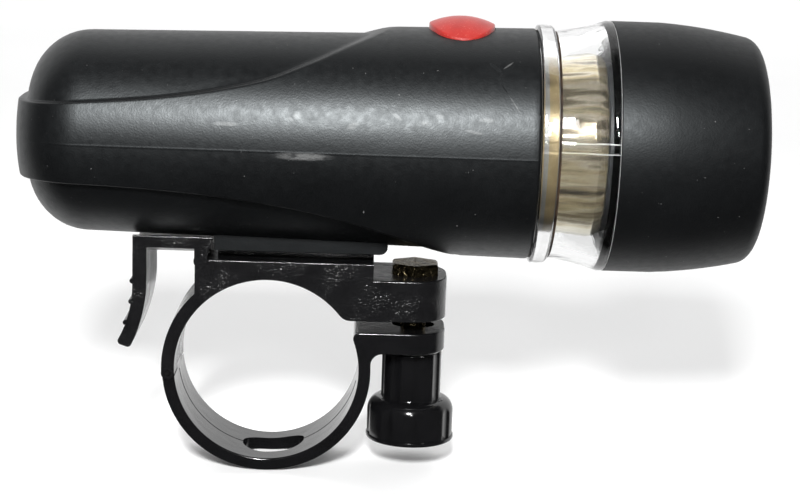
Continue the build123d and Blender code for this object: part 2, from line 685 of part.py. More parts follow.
# Bezel: straight, then drawn in to a rounded front with the lens opening
with BuildPart() as bezel:
    with BuildSketch(Plane.XZ):
        with BuildLine():
            straight_end = BEZEL_REAR + BEZEL_STRAIGHT
            shoulder_end = at_axis(BEZEL_REAR + BEZEL_SHOULDER[0], BEZEL_R - BEZEL_SHOULDER[1])
            Line(at_axis(BEZEL_REAR, BEZEL_R), at_axis(straight_end, BEZEL_R))
            ThreePointArc(
                at_axis(straight_end, BEZEL_R),
                at_axis(BEZEL_REAR + BEZEL_WAIST[0], BEZEL_R - BEZEL_WAIST[1]),
                shoulder_end,
            )
            ThreePointArc(
                shoulder_end,
                at_axis(BEZEL_REAR + BEZEL_NOSE[0], BEZEL_R - BEZEL_NOSE[1]),
                at_axis(BEZEL_FRONT, BEZEL_R - BEZEL_FACE_DROP),
            )
            Polyline(
                at_axis(BEZEL_FRONT, BEZEL_R - BEZEL_FACE_DROP),
                at_axis(BEZEL_FRONT, BEZEL_OPENING_R + BEZEL_MOUTH_CHAMFER),
                at_axis(BEZEL_FRONT - BEZEL_MOUTH_CHAMFER, BEZEL_OPENING_R),
                at_axis(BEZEL_FRONT - BEZEL_LIP, BEZEL_OPENING_R),
                at_axis(BEZEL_FRONT - BEZEL_LIP, LENS_R + FREE_GAP),
                at_axis(neck_front + FREE_GAP, LENS_R + FREE_GAP),
                at_axis(neck_front + FREE_GAP, NECK_R + RUNNING_FIT),
                at_axis(BEZEL_REAR, NECK_R + RUNNING_FIT),
                at_axis(BEZEL_REAR, BEZEL_R),
            )
        make_face()
    revolve(axis=LAMP_AXIS)
save(bezel, "bezel")

with BuildPart() as front_lens:
    add(tube(LENS_REAR, LENS_FRONT, LENS_R))
save(front_lens, "front_lens")

with BuildPart() as lens_gasket:
    add(tube(LENS_FRONT, LENS_FRONT + GASKET_THICKNESS, LENS_R, LENS_R - GASKET_WIDTH))
save(lens_gasket, "lens_gasket")

# Reflector: a metallised skirt behind, a floor for the LEDs, and one cup for each of them
with BuildPart() as reflector:
    with BuildSketch(Plane.XZ):
        with BuildLine():
            skirt_rear = CLEAR_REAR + REFLECTOR_REAR
            rim_rear = REFLECTOR_FRONT - REFLECTOR_RIM
            skirt_bore = REFLECTOR_SKIRT_R - REFLECTOR_SKIRT_WALL
            Polyline(
                at_axis(skirt_rear, skirt_bore),
                at_axis(skirt_rear, REFLECTOR_SKIRT_R),
                at_axis(neck_front, REFLECTOR_SKIRT_R),
                at_axis(rim_rear, LENS_R),
                at_axis(REFLECTOR_FRONT, LENS_R),
                at_axis(REFLECTOR_FRONT, 0),
                at_axis(REFLECTOR_FLOOR_X, 0),
                at_axis(REFLECTOR_FLOOR_X, skirt_bore),
                close=True,
            )
        make_face()
    revolve(axis=LAMP_AXIS)
    cup_angles = [radians(360 / CUP_COUNT * number) for number in range(CUP_COUNT)]
    cup_places = [(0, 0)] + [(CUP_RING_R * cos(a), CUP_RING_R * sin(a)) for a in cup_angles]
    with Locations(*[(0, y, z) for y, z in cup_places]):
        add(cup_space(), mode=Mode.SUBTRACT)
save(reflector, "reflector")

# LED board behind the reflector's floor, with one LED under each cup
with BuildPart() as led_board:
    add(tube(LED_BOARD_REAR, LED_BASE, skirt_bore - FREE_GAP))
save(led_board, "led_board")

for number, (y, z) in enumerate(cup_places, start=1):
    with BuildPart() as led:
        with BuildSketch(Plane.XZ.offset(-y)):
            with BuildLine():
                dome = LED_BASE + LED_LENGTH - LED_R
                Polyline(
                    at_axis(dome + LED_R, z),
                    at_axis(LED_BASE, z),
                    at_axis(LED_BASE, z + LED_FLANGE_R),
                    at_axis(LED_BASE + LED_FLANGE, z + LED_FLANGE_R),
                    at_axis(LED_BASE + LED_FLANGE, z + LED_R),
                    at_axis(dome, z + LED_R),
                )
                RadiusArc(at_axis(dome, z + LED_R), at_axis(dome + LED_R, z), LED_R)
            make_face()
        revolve(axis=Axis((0, y, AXIS_Z + z), (1, 0, 0)))
    save(led, f"led_{number}")

# Contact plate in the spigot, its ring and spring, and the two leads to the LED board
with BuildPart() as contact_plate:
    add(tube(CONTACT_PLATE_REAR, CONTACT_PLATE_REAR + CONTACT_PLATE_THICKNESS, SPIGOT_BORE_R))
save(contact_plate, "contact_plate")

with BuildPart() as ring_contact:
    add(tube(RING_CONTACT_REAR, CONTACT_PLATE_REAR, RING_CONTACT_R, RING_CONTACT_R - RING_CONTACT_WIDTH))
save(ring_contact, "ring_contact")

spring_start = TRAY_FRONT + TERMINAL + SPRING_WIRE_R + RUNNING_FIT
spring_length = CONTACT_PLATE_REAR - SPRING_WIRE_R - spring_start
with BuildPart() as contact_spring:
    with BuildLine():
        coil = Helix(
            pitch=spring_length / SPRING_TURNS,
            height=spring_length,
            radius=SPRING_R,
            center=(spring_start, 0, AXIS_Z),
            direction=(1, 0, 0),
        )
    with BuildSketch(Plane(origin=coil @ 0, z_dir=coil % 0)):
        Circle(SPRING_WIRE_R)
    sweep(path=coil, is_frenet=True)
save(contact_spring, "contact_spring")

with BuildPart() as lead_wires:
    with BuildSketch(Plane.YZ.offset(CONTACT_PLATE_REAR + CONTACT_PLATE_THICKNESS)):
        with Locations((LEAD_SPREAD, AXIS_Z), (-LEAD_SPREAD, AXIS_Z)):
            Circle(LEAD_R)
    extrude(amount=LED_BOARD_REAR - CONTACT_PLATE_REAR - CONTACT_PLATE_THICKNESS)
save(lead_wires, "lead_wires")

# Saddle: upper half ring, deck with its rail, and the upper lug
with BuildPart() as clamp_saddle:
    with BuildSketch(Plane.XZ):
        Circle(BAR_R + SADDLE_WALL)
        with Locations((0, HINGE_Z)):
            Rectangle(4 * BAR_R, 4 * BAR_R, align=(Align.CENTER, Align.MAX), mode=Mode.SUBTRACT)
        with Locations((0, SADDLE_LUG_BOTTOM)):
            Rectangle(4 * BAR_R, 4 * BAR_R, align=(Align.MIN, Align.MAX), mode=Mode.SUBTRACT)
        with BuildLine():
            Polyline(
                (DECK_REAR, SADDLE_LUG_BOTTOM),
                (DECK_REAR, DECK_TOP),
                (DECK_FRONT, DECK_TOP),
                (DECK_FRONT, SADDLE_LUG_TOP),
                (LUG_END, SADDLE_LUG_TOP),
                (LUG_END, SADDLE_LUG_BOTTOM),
                close=True,
            )
        make_face()
        with Locations((HINGE_X, HINGE_Z)):
            Circle(KNUCKLE_R)
        Circle(BAR_R, mode=Mode.SUBTRACT)
    extrude(amount=CLAMP_WIDTH / 2, both=True)
    fillet(
        clamp_saddle.edges().filter_by(Axis.Y).filter_by(
            lambda e: abs(e.center().Z - SADDLE_LUG_BOTTOM) < 0.01 and 0 < e.center().X < BAR_R
        ),
        LUG_MOUTH_R,
    )
    fillet(clamp_saddle.edges().filter_by(Axis.Z).group_by(Axis.X)[-1], LUG_CORNER_R)
    soften(clamp_saddle, away_from_hinge)
    with BuildSketch(Plane.XZ):
        with Locations((HINGE_X, HINGE_Z)):
            Circle(KNUCKLE_R + KNUCKLE_GAP)
    extrude(amount=KNUCKLE_WIDTH / 2 + KNUCKLE_SIDE_GAP, both=True, mode=Mode.SUBTRACT)
    with BuildSketch(Plane.XZ):
        with Locations((HINGE_X, HINGE_Z)):
            Circle(HINGE_PIN_R)
        with Locations((LATCH_PIVOT_X, LATCH_PIVOT_Z)):
            Circle(LATCH_KNUCKLE_R + RUNNING_FIT)
    extrude(amount=CLAMP_WIDTH, both=True, mode=Mode.SUBTRACT)
    with BuildSketch(Plane.XY.offset(SADDLE_LUG_TOP - BOLT_HEAD_SUNK)):
        with Locations((BOLT_X, 0)):
            RegularPolygon(BOLT_HEAD_FLATS / 2 + RUNNING_FIT, 6, major_radius=False, rotation=30)
    extrude(amount=CLAMP_WIDTH, mode=Mode.SUBTRACT)
    with BuildSketch(Plane.XY):
        with Locations((BOLT_X, 0)):
            Circle(BOLT_R + FREE_GAP)
    extrude(amount=CLAMP_WIDTH, mode=Mode.SUBTRACT)
    with BuildSketch(Plane.YZ.offset(RAIL_REAR)):
        add(rail_section(0))
    extrude(amount=RAIL_LENGTH)
save(clamp_saddle, "clamp_saddle")

# Latch: knuckle and wall at the root, strip arched under the barrel, and the tab with its ribs
with BuildPart() as release_latch:
    strip_top_r = barrel_radius(LATCH_NOSE_END) - PANEL_DEPTH + LATCH_BARREL_GAP
    with BuildSketch(Plane.XZ):
        with BuildLine():
            middle_z = (TAB_END_Z + TAB_CURL_START) / 2
            outer_end = (tab_face(TAB_END_Z), TAB_END_Z)
            inner_end = (tab_face(TAB_END_Z) + TAB_WALL, TAB_END_Z - TAB_END_SLANT)
            outer_start = (TAB_X, TAB_CURL_START)
            inner_start = (TAB_X + TAB_WALL, TAB_CURL_START)
            Line(outer_end, inner_end)
            ThreePointArc(inner_end, (tab_face(middle_z) + TAB_WALL, middle_z), inner_start)
            Polyline(inner_start, (TAB_X + TAB_WALL, AXIS_Z), (TAB_X, AXIS_Z), outer_start)
            ThreePointArc(outer_start, (tab_face(middle_z), middle_z), outer_end)
        make_face()
        with Locations((LATCH_PIVOT_X, LATCH_PIVOT_Z)):
            Rectangle(LATCH_WALL, AXIS_Z - LATCH_PIVOT_Z, align=(Align.CENTER, Align.MIN))
            Circle(LATCH_KNUCKLE_R)
        with Locations(*[(tab_face(z), z) for z in TAB_RIB_HEIGHTS]):
            Circle(TAB_RIB_R)
    extrude(amount=CLAMP_WIDTH / 2, both=True)
    add(latch_strip(strip_top_r))
    add(tube(-4 * BAR_R, 4 * BAR_R, strip_top_r), mode=Mode.SUBTRACT)
    fillet(release_latch.edges().filter_by(Axis.Y).sort_by(Axis.Z)[:2], TAB_END_R)
    knuckle_end = LATCH_PIVOT_Z + LATCH_KNUCKLE_R
    soften(release_latch, lambda edge: edge.center().X > TAB_X + TAB_WALL / 2 and not (
        edge.geom_type == GeomType.CIRCLE and edge.center().X > DECK_REAR and edge.center().Z < knuckle_end
    ))
save(release_latch, "release_latch")

# Strap: lower half ring with its slot, the middle knuckle, and the lower lug
with BuildPart() as clamp_strap:
    with BuildSketch(Plane.XZ):
        Circle(BAR_R + STRAP_WALL)
        with Locations((0, HINGE_Z)):
            Rectangle(4 * BAR_R, 4 * BAR_R, align=(Align.MAX, Align.MIN), mode=Mode.SUBTRACT)
        with Locations((0, STRAP_LUG_BOTTOM)):
            Rectangle(4 * BAR_R, 4 * BAR_R, align=(Align.MIN, Align.MIN), mode=Mode.SUBTRACT)
            Rectangle(LUG_END, STRAP_LUG_TOP - STRAP_LUG_BOTTOM, align=(Align.MIN, Align.MIN))
        with Locations((HINGE_X, HINGE_Z)):
            Circle(KNUCKLE_R)
        Circle(BAR_R, mode=Mode.SUBTRACT)
    extrude(amount=CLAMP_WIDTH / 2, both=True)
    across_edges = clamp_strap.edges().filter_by(Axis.Y).filter_by(lambda e: 0 < e.center().X < LUG_END - 1)
    fillet(across_edges.filter_by(lambda e: abs(e.center().Z - STRAP_LUG_TOP) < 0.01), STRAP_MOUTH_R)
    across_edges = clamp_strap.edges().filter_by(Axis.Y).filter_by(lambda e: BAR_R < e.center().X < LUG_END - 1)
    fillet(across_edges.filter_by(lambda e: abs(e.center().Z - STRAP_LUG_BOTTOM) < 0.01), STRAP_CROOK_R)
    fillet(clamp_strap.edges().filter_by(Axis.Z).group_by(Axis.X)[-1], LUG_CORNER_R)
    soften(clamp_strap, away_from_hinge)
    finger = (CLAMP_WIDTH - KNUCKLE_WIDTH) / 2
    for y in (-CLAMP_WIDTH / 2, KNUCKLE_WIDTH / 2):
        with BuildSketch(Plane.XZ.offset(-y)):
            with Locations((HINGE_X, HINGE_Z)):
                Circle(KNUCKLE_R + KNUCKLE_GAP)
        extrude(amount=-finger, mode=Mode.SUBTRACT)
    with BuildSketch(Plane.XZ):
        with Locations((HINGE_X, HINGE_Z)):
            Circle(HINGE_PIN_R + RUNNING_FIT)
    extrude(amount=CLAMP_WIDTH, both=True, mode=Mode.SUBTRACT)
    with BuildSketch():
        with Locations((BOLT_X, 0)):
            SlotOverall(BOLT_SLOT_LENGTH, BOLT_SLOT_WIDTH)
    extrude(amount=STRAP_LUG_TOP + 1, mode=Mode.SUBTRACT)
    with BuildSketch():
        with Locations((STRAP_SLOT_X, 0)):
            RectangleRounded(STRAP_SLOT_LENGTH, STRAP_SLOT_WIDTH, STRAP_SLOT_WIDTH / 2 - EDGE_BREAK)
    extrude(amount=-2 * BAR_R, mode=Mode.SUBTRACT)
save(clamp_strap, "clamp_strap")

with BuildPart() as hinge_pin:
    with BuildSketch(Plane.XZ):
        with Locations((HINGE_X, HINGE_Z)):
            Circle(HINGE_PIN_R)
    extrude(amount=CLAMP_WIDTH / 2, both=True)
save(hinge_pin, "hinge_pin")

# Bolt: hexagon head sunk in the upper lug, and a plain shank down through both lugs
with BuildPart() as clamp_bolt:
    head_bottom = SADDLE_LUG_TOP - BOLT_HEAD_SUNK
    with BuildSketch(Plane.XY.offset(head_bottom)):
        with Locations((BOLT_X, 0)):
            RegularPolygon(BOLT_HEAD_FLATS / 2, 6, major_radius=False, rotation=30)
    extrude(amount=BOLT_HEAD_HEIGHT)
    chamfer(clamp_bolt.faces().sort_by(Axis.Z)[-1].edges(), EDGE_BREAK)
    with BuildSketch(Plane.XY.offset(head_bottom)):
        with Locations((BOLT_X, 0)):
            Circle(BOLT_R)
    extrude(amount=BOLT_END - head_bottom)
save(clamp_bolt, "clamp_bolt")

with BuildPart() as clamp_washer:
    with BuildSketch(Plane.XY.offset(KNOB_TOP + RUNNING_FIT)):
        with Locations((BOLT_X, 0)):
            Circle(WASHER_R)
            Circle(BOLT_R + FREE_GAP, mode=Mode.SUBTRACT)
    extrude(amount=WASHER_THICKNESS)
save(clamp_washer, "clamp_washer")

# Thumb knob: fluted shaft, fluted base with a rounded shoulder and a thin rim below
with BuildPart() as thumb_knob:
    shoulder_drop = KNOB_BASE_R - KNOB_SHAFT_R
    base_top = KNOB_BOTTOM + KNOB_BASE_HEIGHT
    rim_top = KNOB_BOTTOM + KNOB_RIM_HEIGHT
    with BuildSketch(Plane.XZ):
        with BuildLine():
            Polyline(
                (BOLT_X + KNOB_SHAFT_R, base_top),
                (BOLT_X + KNOB_SHAFT_R, KNOB_TOP),
                (BOLT_X, KNOB_TOP),
                (BOLT_X, rim_top),
                (BOLT_X + KNOB_BASE_R, rim_top),
                (BOLT_X + KNOB_BASE_R, base_top - shoulder_drop),
            )
            RadiusArc(
                (BOLT_X + KNOB_BASE_R, base_top - shoulder_drop),
                (BOLT_X + KNOB_SHAFT_R, base_top),
                -shoulder_drop,
            )
        make_face()
    revolve(axis=BOLT_AXIS)
    for flute_r, low, high in ((KNOB_SHAFT_R, base_top, KNOB_TOP), (KNOB_BASE_R, rim_top, base_top)):
        with BuildSketch(Plane.XY.offset(low)):
            with Locations((BOLT_X, 0)):
                with PolarLocations(flute_r + KNOB_FLUTE_R - KNOB_FLUTE_DEPTH, KNOB_FLUTES, KNOB_FLUTE_TURN):
                    Circle(KNOB_FLUTE_R)
        extrude(amount=high - low, mode=Mode.SUBTRACT)
    with BuildSketch(Plane.XY.offset(KNOB_BOTTOM)):
        with Locations((BOLT_X, 0)):
            Circle(KNOB_RIM_R)
    extrude(amount=KNOB_RIM_HEIGHT)
    with BuildSketch(Plane.XY.offset(KNOB_TOP)):
        with Locations((BOLT_X, 0)):
            Circle(KNOB_INSERT_R)
    extrude(amount=-KNOB_INSERT_LENGTH - BOLT_END_ROOM, mode=Mode.SUBTRACT)
save(thumb_knob, "thumb_knob")

with BuildPart() as knob_insert:
    with BuildSketch(Plane.XY.offset(KNOB_TOP)):
        with Locations((BOLT_X, 0)):
            Circle(KNOB_INSERT_R)
            Circle(BOLT_R + RUNNING_FIT, mode=Mode.SUBTRACT)
    extrude(amount=-KNOB_INSERT_LENGTH)
save(knob_insert, "knob_insert")
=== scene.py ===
# %% [markdown]
# A bicycle light on a handlebar clamp, dressed step by step.
#
# The light is a tapered black barrel with a red push button, a ring of clear plastic and a screw-on head.
# It slides onto the deck of a glossy black clamp, which a thumb knob closes round the bar.
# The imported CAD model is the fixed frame: every piece below takes its place from it, in metres,
# with +X along the beam, +Y away from the photographer and +Z up.

from math import asin, atan2, cos, degrees, hypot, pi, radians, sin, sqrt, tan

import bmesh
import bpy
from mathutils import Matrix, Vector


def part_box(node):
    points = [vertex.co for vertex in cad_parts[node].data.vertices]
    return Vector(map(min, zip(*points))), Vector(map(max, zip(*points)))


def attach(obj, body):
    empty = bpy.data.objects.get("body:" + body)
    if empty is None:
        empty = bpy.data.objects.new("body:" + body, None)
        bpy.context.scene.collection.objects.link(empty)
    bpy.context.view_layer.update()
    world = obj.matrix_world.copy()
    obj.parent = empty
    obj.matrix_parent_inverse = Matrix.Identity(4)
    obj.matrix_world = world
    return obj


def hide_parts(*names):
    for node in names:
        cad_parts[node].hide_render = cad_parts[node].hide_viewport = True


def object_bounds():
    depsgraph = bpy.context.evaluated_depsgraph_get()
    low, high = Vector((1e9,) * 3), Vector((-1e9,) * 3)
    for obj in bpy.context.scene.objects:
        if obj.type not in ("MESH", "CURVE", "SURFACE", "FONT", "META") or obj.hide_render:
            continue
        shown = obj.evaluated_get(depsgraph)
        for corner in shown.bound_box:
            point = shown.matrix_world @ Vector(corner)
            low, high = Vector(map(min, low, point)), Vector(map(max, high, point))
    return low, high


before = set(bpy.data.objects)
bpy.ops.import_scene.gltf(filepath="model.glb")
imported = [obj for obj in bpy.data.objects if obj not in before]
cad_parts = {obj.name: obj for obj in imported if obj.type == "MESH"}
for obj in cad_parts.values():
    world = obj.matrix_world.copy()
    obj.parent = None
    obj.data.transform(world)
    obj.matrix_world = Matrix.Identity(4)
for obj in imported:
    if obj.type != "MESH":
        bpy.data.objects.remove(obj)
cad_low, cad_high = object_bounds()
MM = 0.001
print("CAD box in mm:", [round(edge / MM, 2) for edge in (*cad_low, *cad_high)])

# %% [markdown]
# The camera comes first, because every later choice is judged through it.
# The photograph was taken a little from above, with a lens of about 80 mm on a full-frame camera, and held
# slightly crooked. A camera can be placed by eye, but then each look at a piece would need its own guess,
# so its direction, distance and roll are stated once and its axes are worked out from them.

# %% Camera
CAMERA_HEIGHT_ANGLE = radians(11.43)
CAMERA_SIDE_ANGLE = radians(1.135)
CAMERA_ROLL = radians(1.97)
CAMERA_DISTANCE = 280.4 * MM
CAMERA_AIM = Vector((19.95, 0, 18.45)) * MM
LENS = 81.43
SENSOR = 36.0

look = Vector((
    sin(CAMERA_SIDE_ANGLE) * cos(CAMERA_HEIGHT_ANGLE),
    cos(CAMERA_SIDE_ANGLE) * cos(CAMERA_HEIGHT_ANGLE),
    -sin(CAMERA_HEIGHT_ANGLE),
))
level = look.cross(Vector((0, 0, 1))).normalized()
upright = level.cross(look)
right = level * cos(CAMERA_ROLL) + upright * sin(CAMERA_ROLL)
up = upright * cos(CAMERA_ROLL) - level * sin(CAMERA_ROLL)
camera = bpy.data.objects.new("camera", bpy.data.cameras.new("camera"))
camera.data.lens = LENS
camera.data.sensor_width = SENSOR
camera.matrix_world = Matrix.Translation(CAMERA_AIM - look * CAMERA_DISTANCE) @ Matrix(
    (right, up, -look)
).transposed().to_4x4()
bpy.context.scene.collection.objects.link(camera)
bpy.context.scene.camera = camera
print("camera at", [round(place / MM, 1) for place in camera.location], "mm")

# %% [markdown]
# The studio is a large pale floor with three soft lights, two on the photographer's side and one
# overhead. Black plastic shows almost nothing of its own colour: what the eye reads is what it reflects.
# So the lights are placed for their reflections. The broad one gives the barrel its long grey band above
# the middle, and the small one gives the glossy clamp its sparkle. The overhead one only whitens the
# floor, and glossy surfaces don't see it. A card behind the clamp's deck, which only reflections see, is a
# painted shadow: it stands for the shade behind the deck and keeps the bright room out of the saddle's
# gloss, as a photographer's flag does. The knob comes lowest when the clamp opens, so the floor rides down
# with it and no pose sinks into it.

# %% Floor
FLOOR_GAP = 0.05 * MM
FLOOR_SIZE = 8.0


def plain_floor():
    """A pale matt floor with a trace of unevenness."""
    paper = bpy.data.materials.new("paper_floor")
    paper.use_nodes = True
    nodes, links = paper.node_tree.nodes, paper.node_tree.links
    shader = nodes["Principled BSDF"]
    shader.inputs["Roughness"].default_value = 0.9
    shader.inputs["Specular IOR Level"].default_value = 0.2
    place = nodes.new("ShaderNodeTexCoord")
    cloud = nodes.new("ShaderNodeTexNoise")
    cloud.inputs["Scale"].default_value = 6
    shades = nodes.new("ShaderNodeValToRGB")
    shades.color_ramp.elements[0].color = (0.92, 0.92, 0.92, 1)
    shades.color_ramp.elements[1].color = (0.96, 0.96, 0.96, 1)
    links.new(place.outputs["Object"], cloud.inputs["Vector"])
    links.new(cloud.outputs["Fac"], shades.inputs["Fac"])
    links.new(shades.outputs["Color"], shader.inputs["Base Color"])
    return paper


bpy.ops.mesh.primitive_plane_add(size=FLOOR_SIZE, location=(0, FLOOR_SIZE / 4, cad_low.z - FLOOR_GAP))
floor = bpy.context.object
floor.name = "floor"
floor.data.materials.append(plain_floor())
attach(floor, "knob_slide")
floor.visible_glossy = False
floor.visible_transmission = False
print("floor at", round(floor.location.z / MM, 2), "mm")

# %% Lights and card
CARD_X = (-24, 36)
CARD_Y = 24
CARD_Z = (6, 22.5)


def soft_light(name, place, aim, size, power):
    """A rectangular light of a size in metres, turned to face a point."""
    lamp = bpy.data.lights.new(name, "AREA")
    lamp.shape = "RECTANGLE"
    lamp.size, lamp.size_y = size
    lamp.energy = power
    light = bpy.data.objects.new(name, lamp)
    light.location = place
    light.rotation_mode = "QUATERNION"
    light.rotation_quaternion = (Vector(aim) - Vector(place)).to_track_quat("-Z", "Y")
    bpy.context.scene.collection.objects.link(light)
    return light


key = soft_light(
    "key_light", place=(-0.01, -0.365, 0.237), aim=(0.01, -0.017, 0.04), size=(0.06, 0.075), power=2.9
)
glint = soft_light(
    "glint_light", place=(0.05, -0.5, 0.2), aim=(0.01, 0, 0.01), size=(0.035, 0.035), power=0.3
)
overhead = soft_light(
    "overhead_light", place=(0, 1.4, 1.3), aim=(0, 1.4, 0), size=(3.2, 2.6), power=32
)
overhead.visible_glossy = False
card_corners = [
    (CARD_X[0], CARD_Z[0]),
    (CARD_X[1], CARD_Z[0]),
    (CARD_X[1], CARD_Z[1]),
    (CARD_X[0], CARD_Z[1]),
]
# painted shadow: a card that only reflections see, standing for shade behind the clamp's deck
shadow_card = bpy.data.objects.new("painted_shadow_card", bpy.data.meshes.new("painted_shadow_card"))
shadow_card.data.from_pydata([(x * MM, CARD_Y * MM, z * MM) for x, z in card_corners], [], [(0, 1, 2, 3)])
bpy.context.scene.collection.objects.link(shadow_card)
for way in ("camera", "diffuse", "shadow", "transmission"):
    setattr(shadow_card, f"visible_{way}", False)
print("lights:", key.name, glint.name, overhead.name)

# %% [markdown]
# The room round the studio is white behind the object and dark behind the photographer. An even grey room
# is simpler, but glossy and clear parts would lose their edges in it: the white behind draws a bright rim
# along them, and the dark in front keeps their near faces black. The camera itself sees plain white.

# %% Room
DARK_SIDE = 0.032
BRIGHT_SIDE = 1.0
DARK_UNTIL = 0.09
BRIGHT_FROM = 0.38


def white_behind(name):
    """A world that is white behind the object, dark behind the photographer and plain white to look at."""
    room = bpy.data.worlds.new(name)
    room.use_nodes = True
    nodes, links = room.node_tree.nodes, room.node_tree.links
    place = nodes.new("ShaderNodeTexCoord")
    parts = nodes.new("ShaderNodeSeparateXYZ")
    shades = nodes.new("ShaderNodeValToRGB")
    seen = nodes.new("ShaderNodeLightPath")
    white = nodes.new("ShaderNodeBackground")
    either = nodes.new("ShaderNodeMixShader")
    around = nodes["Background"]
    for element, position, shade in zip(
        shades.color_ramp.elements, (DARK_UNTIL, BRIGHT_FROM), (DARK_SIDE, BRIGHT_SIDE)
    ):
        element.position = position
        element.color = (shade, shade, shade, 1)
    links.new(place.outputs["Generated"], parts.inputs["Vector"])
    links.new(parts.outputs["Y"], shades.inputs["Fac"])
    links.new(shades.outputs["Color"], around.inputs["Color"])
    links.new(seen.outputs["Is Camera Ray"], either.inputs["Fac"])
    links.new(around.outputs["Background"], either.inputs[1])
    links.new(white.outputs["Background"], either.inputs[2])
    links.new(either.outputs["Shader"], nodes["World Output"].inputs["Surface"])
    white.inputs["Color"].default_value = (0.97, 0.97, 0.97, 1)
    return room


bpy.context.scene.world = white_behind("studio")
bpy.context.scene.view_settings.view_transform = "Standard"
print("room goes from", DARK_SIDE, "in front to", BRIGHT_SIDE, "behind")

# %% [markdown]
# Finishes are built from a few small steps that repeat: a place on the piece, a noise, a ramp and a bump.
# Each step is a short function that adds its nodes and returns the socket that the next one needs.
# Everything is procedural and reads the piece's own coordinates, so a finish stays on a piece that moves.
# A value that is the same all over goes straight onto the shader.

# %% New finish, links and place
def new_finish(name, roughness, **even):
    """A material whose even values sit on its one shader. Returns the material and its shader."""
    finish = bpy.data.materials.new(name)
    finish.use_nodes = True
    shader = finish.node_tree.nodes["Principled BSDF"]
    shader.inputs["Roughness"].default_value = roughness
    for socket, value in even.items():
        shader.inputs[socket.replace("_", " ")].default_value = value
    return finish, shader


def joined(finish, source, target):
    """Links one socket to another and returns the material, so that steps can follow on."""
    finish.node_tree.links.new(source, target)
    return finish


def piece_place(finish, stretch=(1, 1, 1), shift=(0, 0, 0)):
    """The place on the piece in metres, stretched or shifted before a texture reads it."""
    place = finish.node_tree.nodes.new("ShaderNodeTexCoord")
    mapping = finish.node_tree.nodes.new("ShaderNodeMapping")
    mapping.inputs["Scale"].default_value = stretch
    mapping.inputs["Location"].default_value = shift
    joined(finish, place.outputs["Object"], mapping.inputs["Vector"])
    return mapping.outputs["Vector"]


print("first steps:", [step.__name__ for step in (new_finish, joined, piece_place)])


# %% Noise, ramps and bumps
def noise(finish, grain, detail=2.0, place=None):
    """A noise whose grains are about this size in metres."""
    texture = finish.node_tree.nodes.new("ShaderNodeTexNoise")
    texture.inputs["Scale"].default_value = 1 / grain
    texture.inputs["Detail"].default_value = detail
    joined(finish, place or piece_place(finish), texture.inputs["Vector"])
    return texture.outputs["Fac"]


def ramp(finish, amount, *stops):
    """Turns an amount into a colour or a value through (position, grey or colour) stops."""
    node = finish.node_tree.nodes.new("ShaderNodeValToRGB")
    elements = node.color_ramp.elements
    while len(elements) < len(stops):
        elements.new(0.5)
    for element, (position, colour) in zip(elements, stops):
        element.position = position
        element.color = (colour, colour, colour, 1) if isinstance(colour, float) else (*colour, 1)
    joined(finish, amount, node.inputs["Fac"])
    return node.outputs["Color"]


def blended(finish, amount, below, above):
    """One colour socket over another, by an amount."""
    mix = finish.node_tree.nodes.new("ShaderNodeMix")
    mix.data_type = "RGBA"
    joined(finish, amount, mix.inputs["Factor"])
    joined(finish, below, mix.inputs["A"])
    joined(finish, above, mix.inputs["B"])
    return mix.outputs["Result"]


def product(finish, first, second, operation="MULTIPLY"):
    """Two amounts put together into one."""
    maths = finish.node_tree.nodes.new("ShaderNodeMath")
    maths.operation = operation
    joined(finish, first, maths.inputs[0])
    joined(finish, second, maths.inputs[1])
    return maths.outputs["Value"]


def bumped(finish, shader, height, depth, strength=1.0, under=None):
    """Raises the surface by a height texture, this many metres deep, over any bump below it."""
    bump = finish.node_tree.nodes.new("ShaderNodeBump")
    bump.inputs["Distance"].default_value = depth
    bump.inputs["Strength"].default_value = strength
    joined(finish, height, bump.inputs["Height"])
    if under:
        joined(finish, under, bump.inputs["Normal"])
    joined(finish, bump.outputs["Normal"], shader.inputs["Normal"])
    return bump.outputs["Normal"]


print("texture steps:", [step.__name__ for step in (noise, ramp, blended, product, bumped)])

# %% [markdown]
# Every new piece is a mesh of points and faces worked out here. It rides on a CAD body and may stand for
# CAD nodes. One function does that for all of them. Many are skins over rings of points with a flat cap
# at each end, which a second function strings together.

# %% Piece maker
WELD = 0.002 * MM
SHARP_ANGLE = 38


def make_piece(name, points, faces, body, slot, finish, nodes=(), sharp=SHARP_ANGLE):
    """Points and faces become a smooth-shaded piece that rides on a body and stands for its CAD nodes."""
    mesh = bpy.data.meshes.new(name)
    shape = bmesh.new()
    corners = [shape.verts.new(point) for point in points]
    for face in faces:
        shape.faces.new([corners[index] for index in face])
    bmesh.ops.remove_doubles(shape, verts=shape.verts, dist=WELD)
    bmesh.ops.dissolve_degenerate(shape, dist=WELD, edges=shape.edges)
    bmesh.ops.recalc_face_normals(shape, faces=shape.faces)
    shape.to_mesh(mesh)
    shape.free()
    mesh.shade_smooth()
    mesh.set_sharp_from_angle(angle=radians(sharp))
    mesh.materials.append(finish)
    piece = bpy.data.objects.new(name, mesh)
    bpy.context.scene.collection.objects.link(piece)
    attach(piece, body)
    if nodes:
        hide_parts(*nodes)
    print(name, "has", len(mesh.polygons), "faces")
    return piece


def ring_faces(rings, size, closed=True):
    """Quads between each ring of points and the next, and from the last back to the first if closed."""
    faces = []
    for ring in range(rings if closed else rings - 1):
        after = (ring + 1) % rings
        for step in range(size):
            beside = (step + 1) % size
            faces.append((
                ring * size + step,
                ring * size + beside,
                after * size + beside,
                after * size + step,
            ))
    return faces


def capped_rings(rings):
    """Points and faces of a closed skin over rings of points, with a cap on the first and on the last."""
    size = len(rings[0])
    points = [point for ring in rings for point in ring]
    faces = ring_faces(len(rings), size, closed=False)
    faces += [tuple(reversed(range(size))), tuple(range(len(points) - size, len(points)))]
    return points, faces


print("points closer than", round(WELD / MM, 3), "mm are joined")

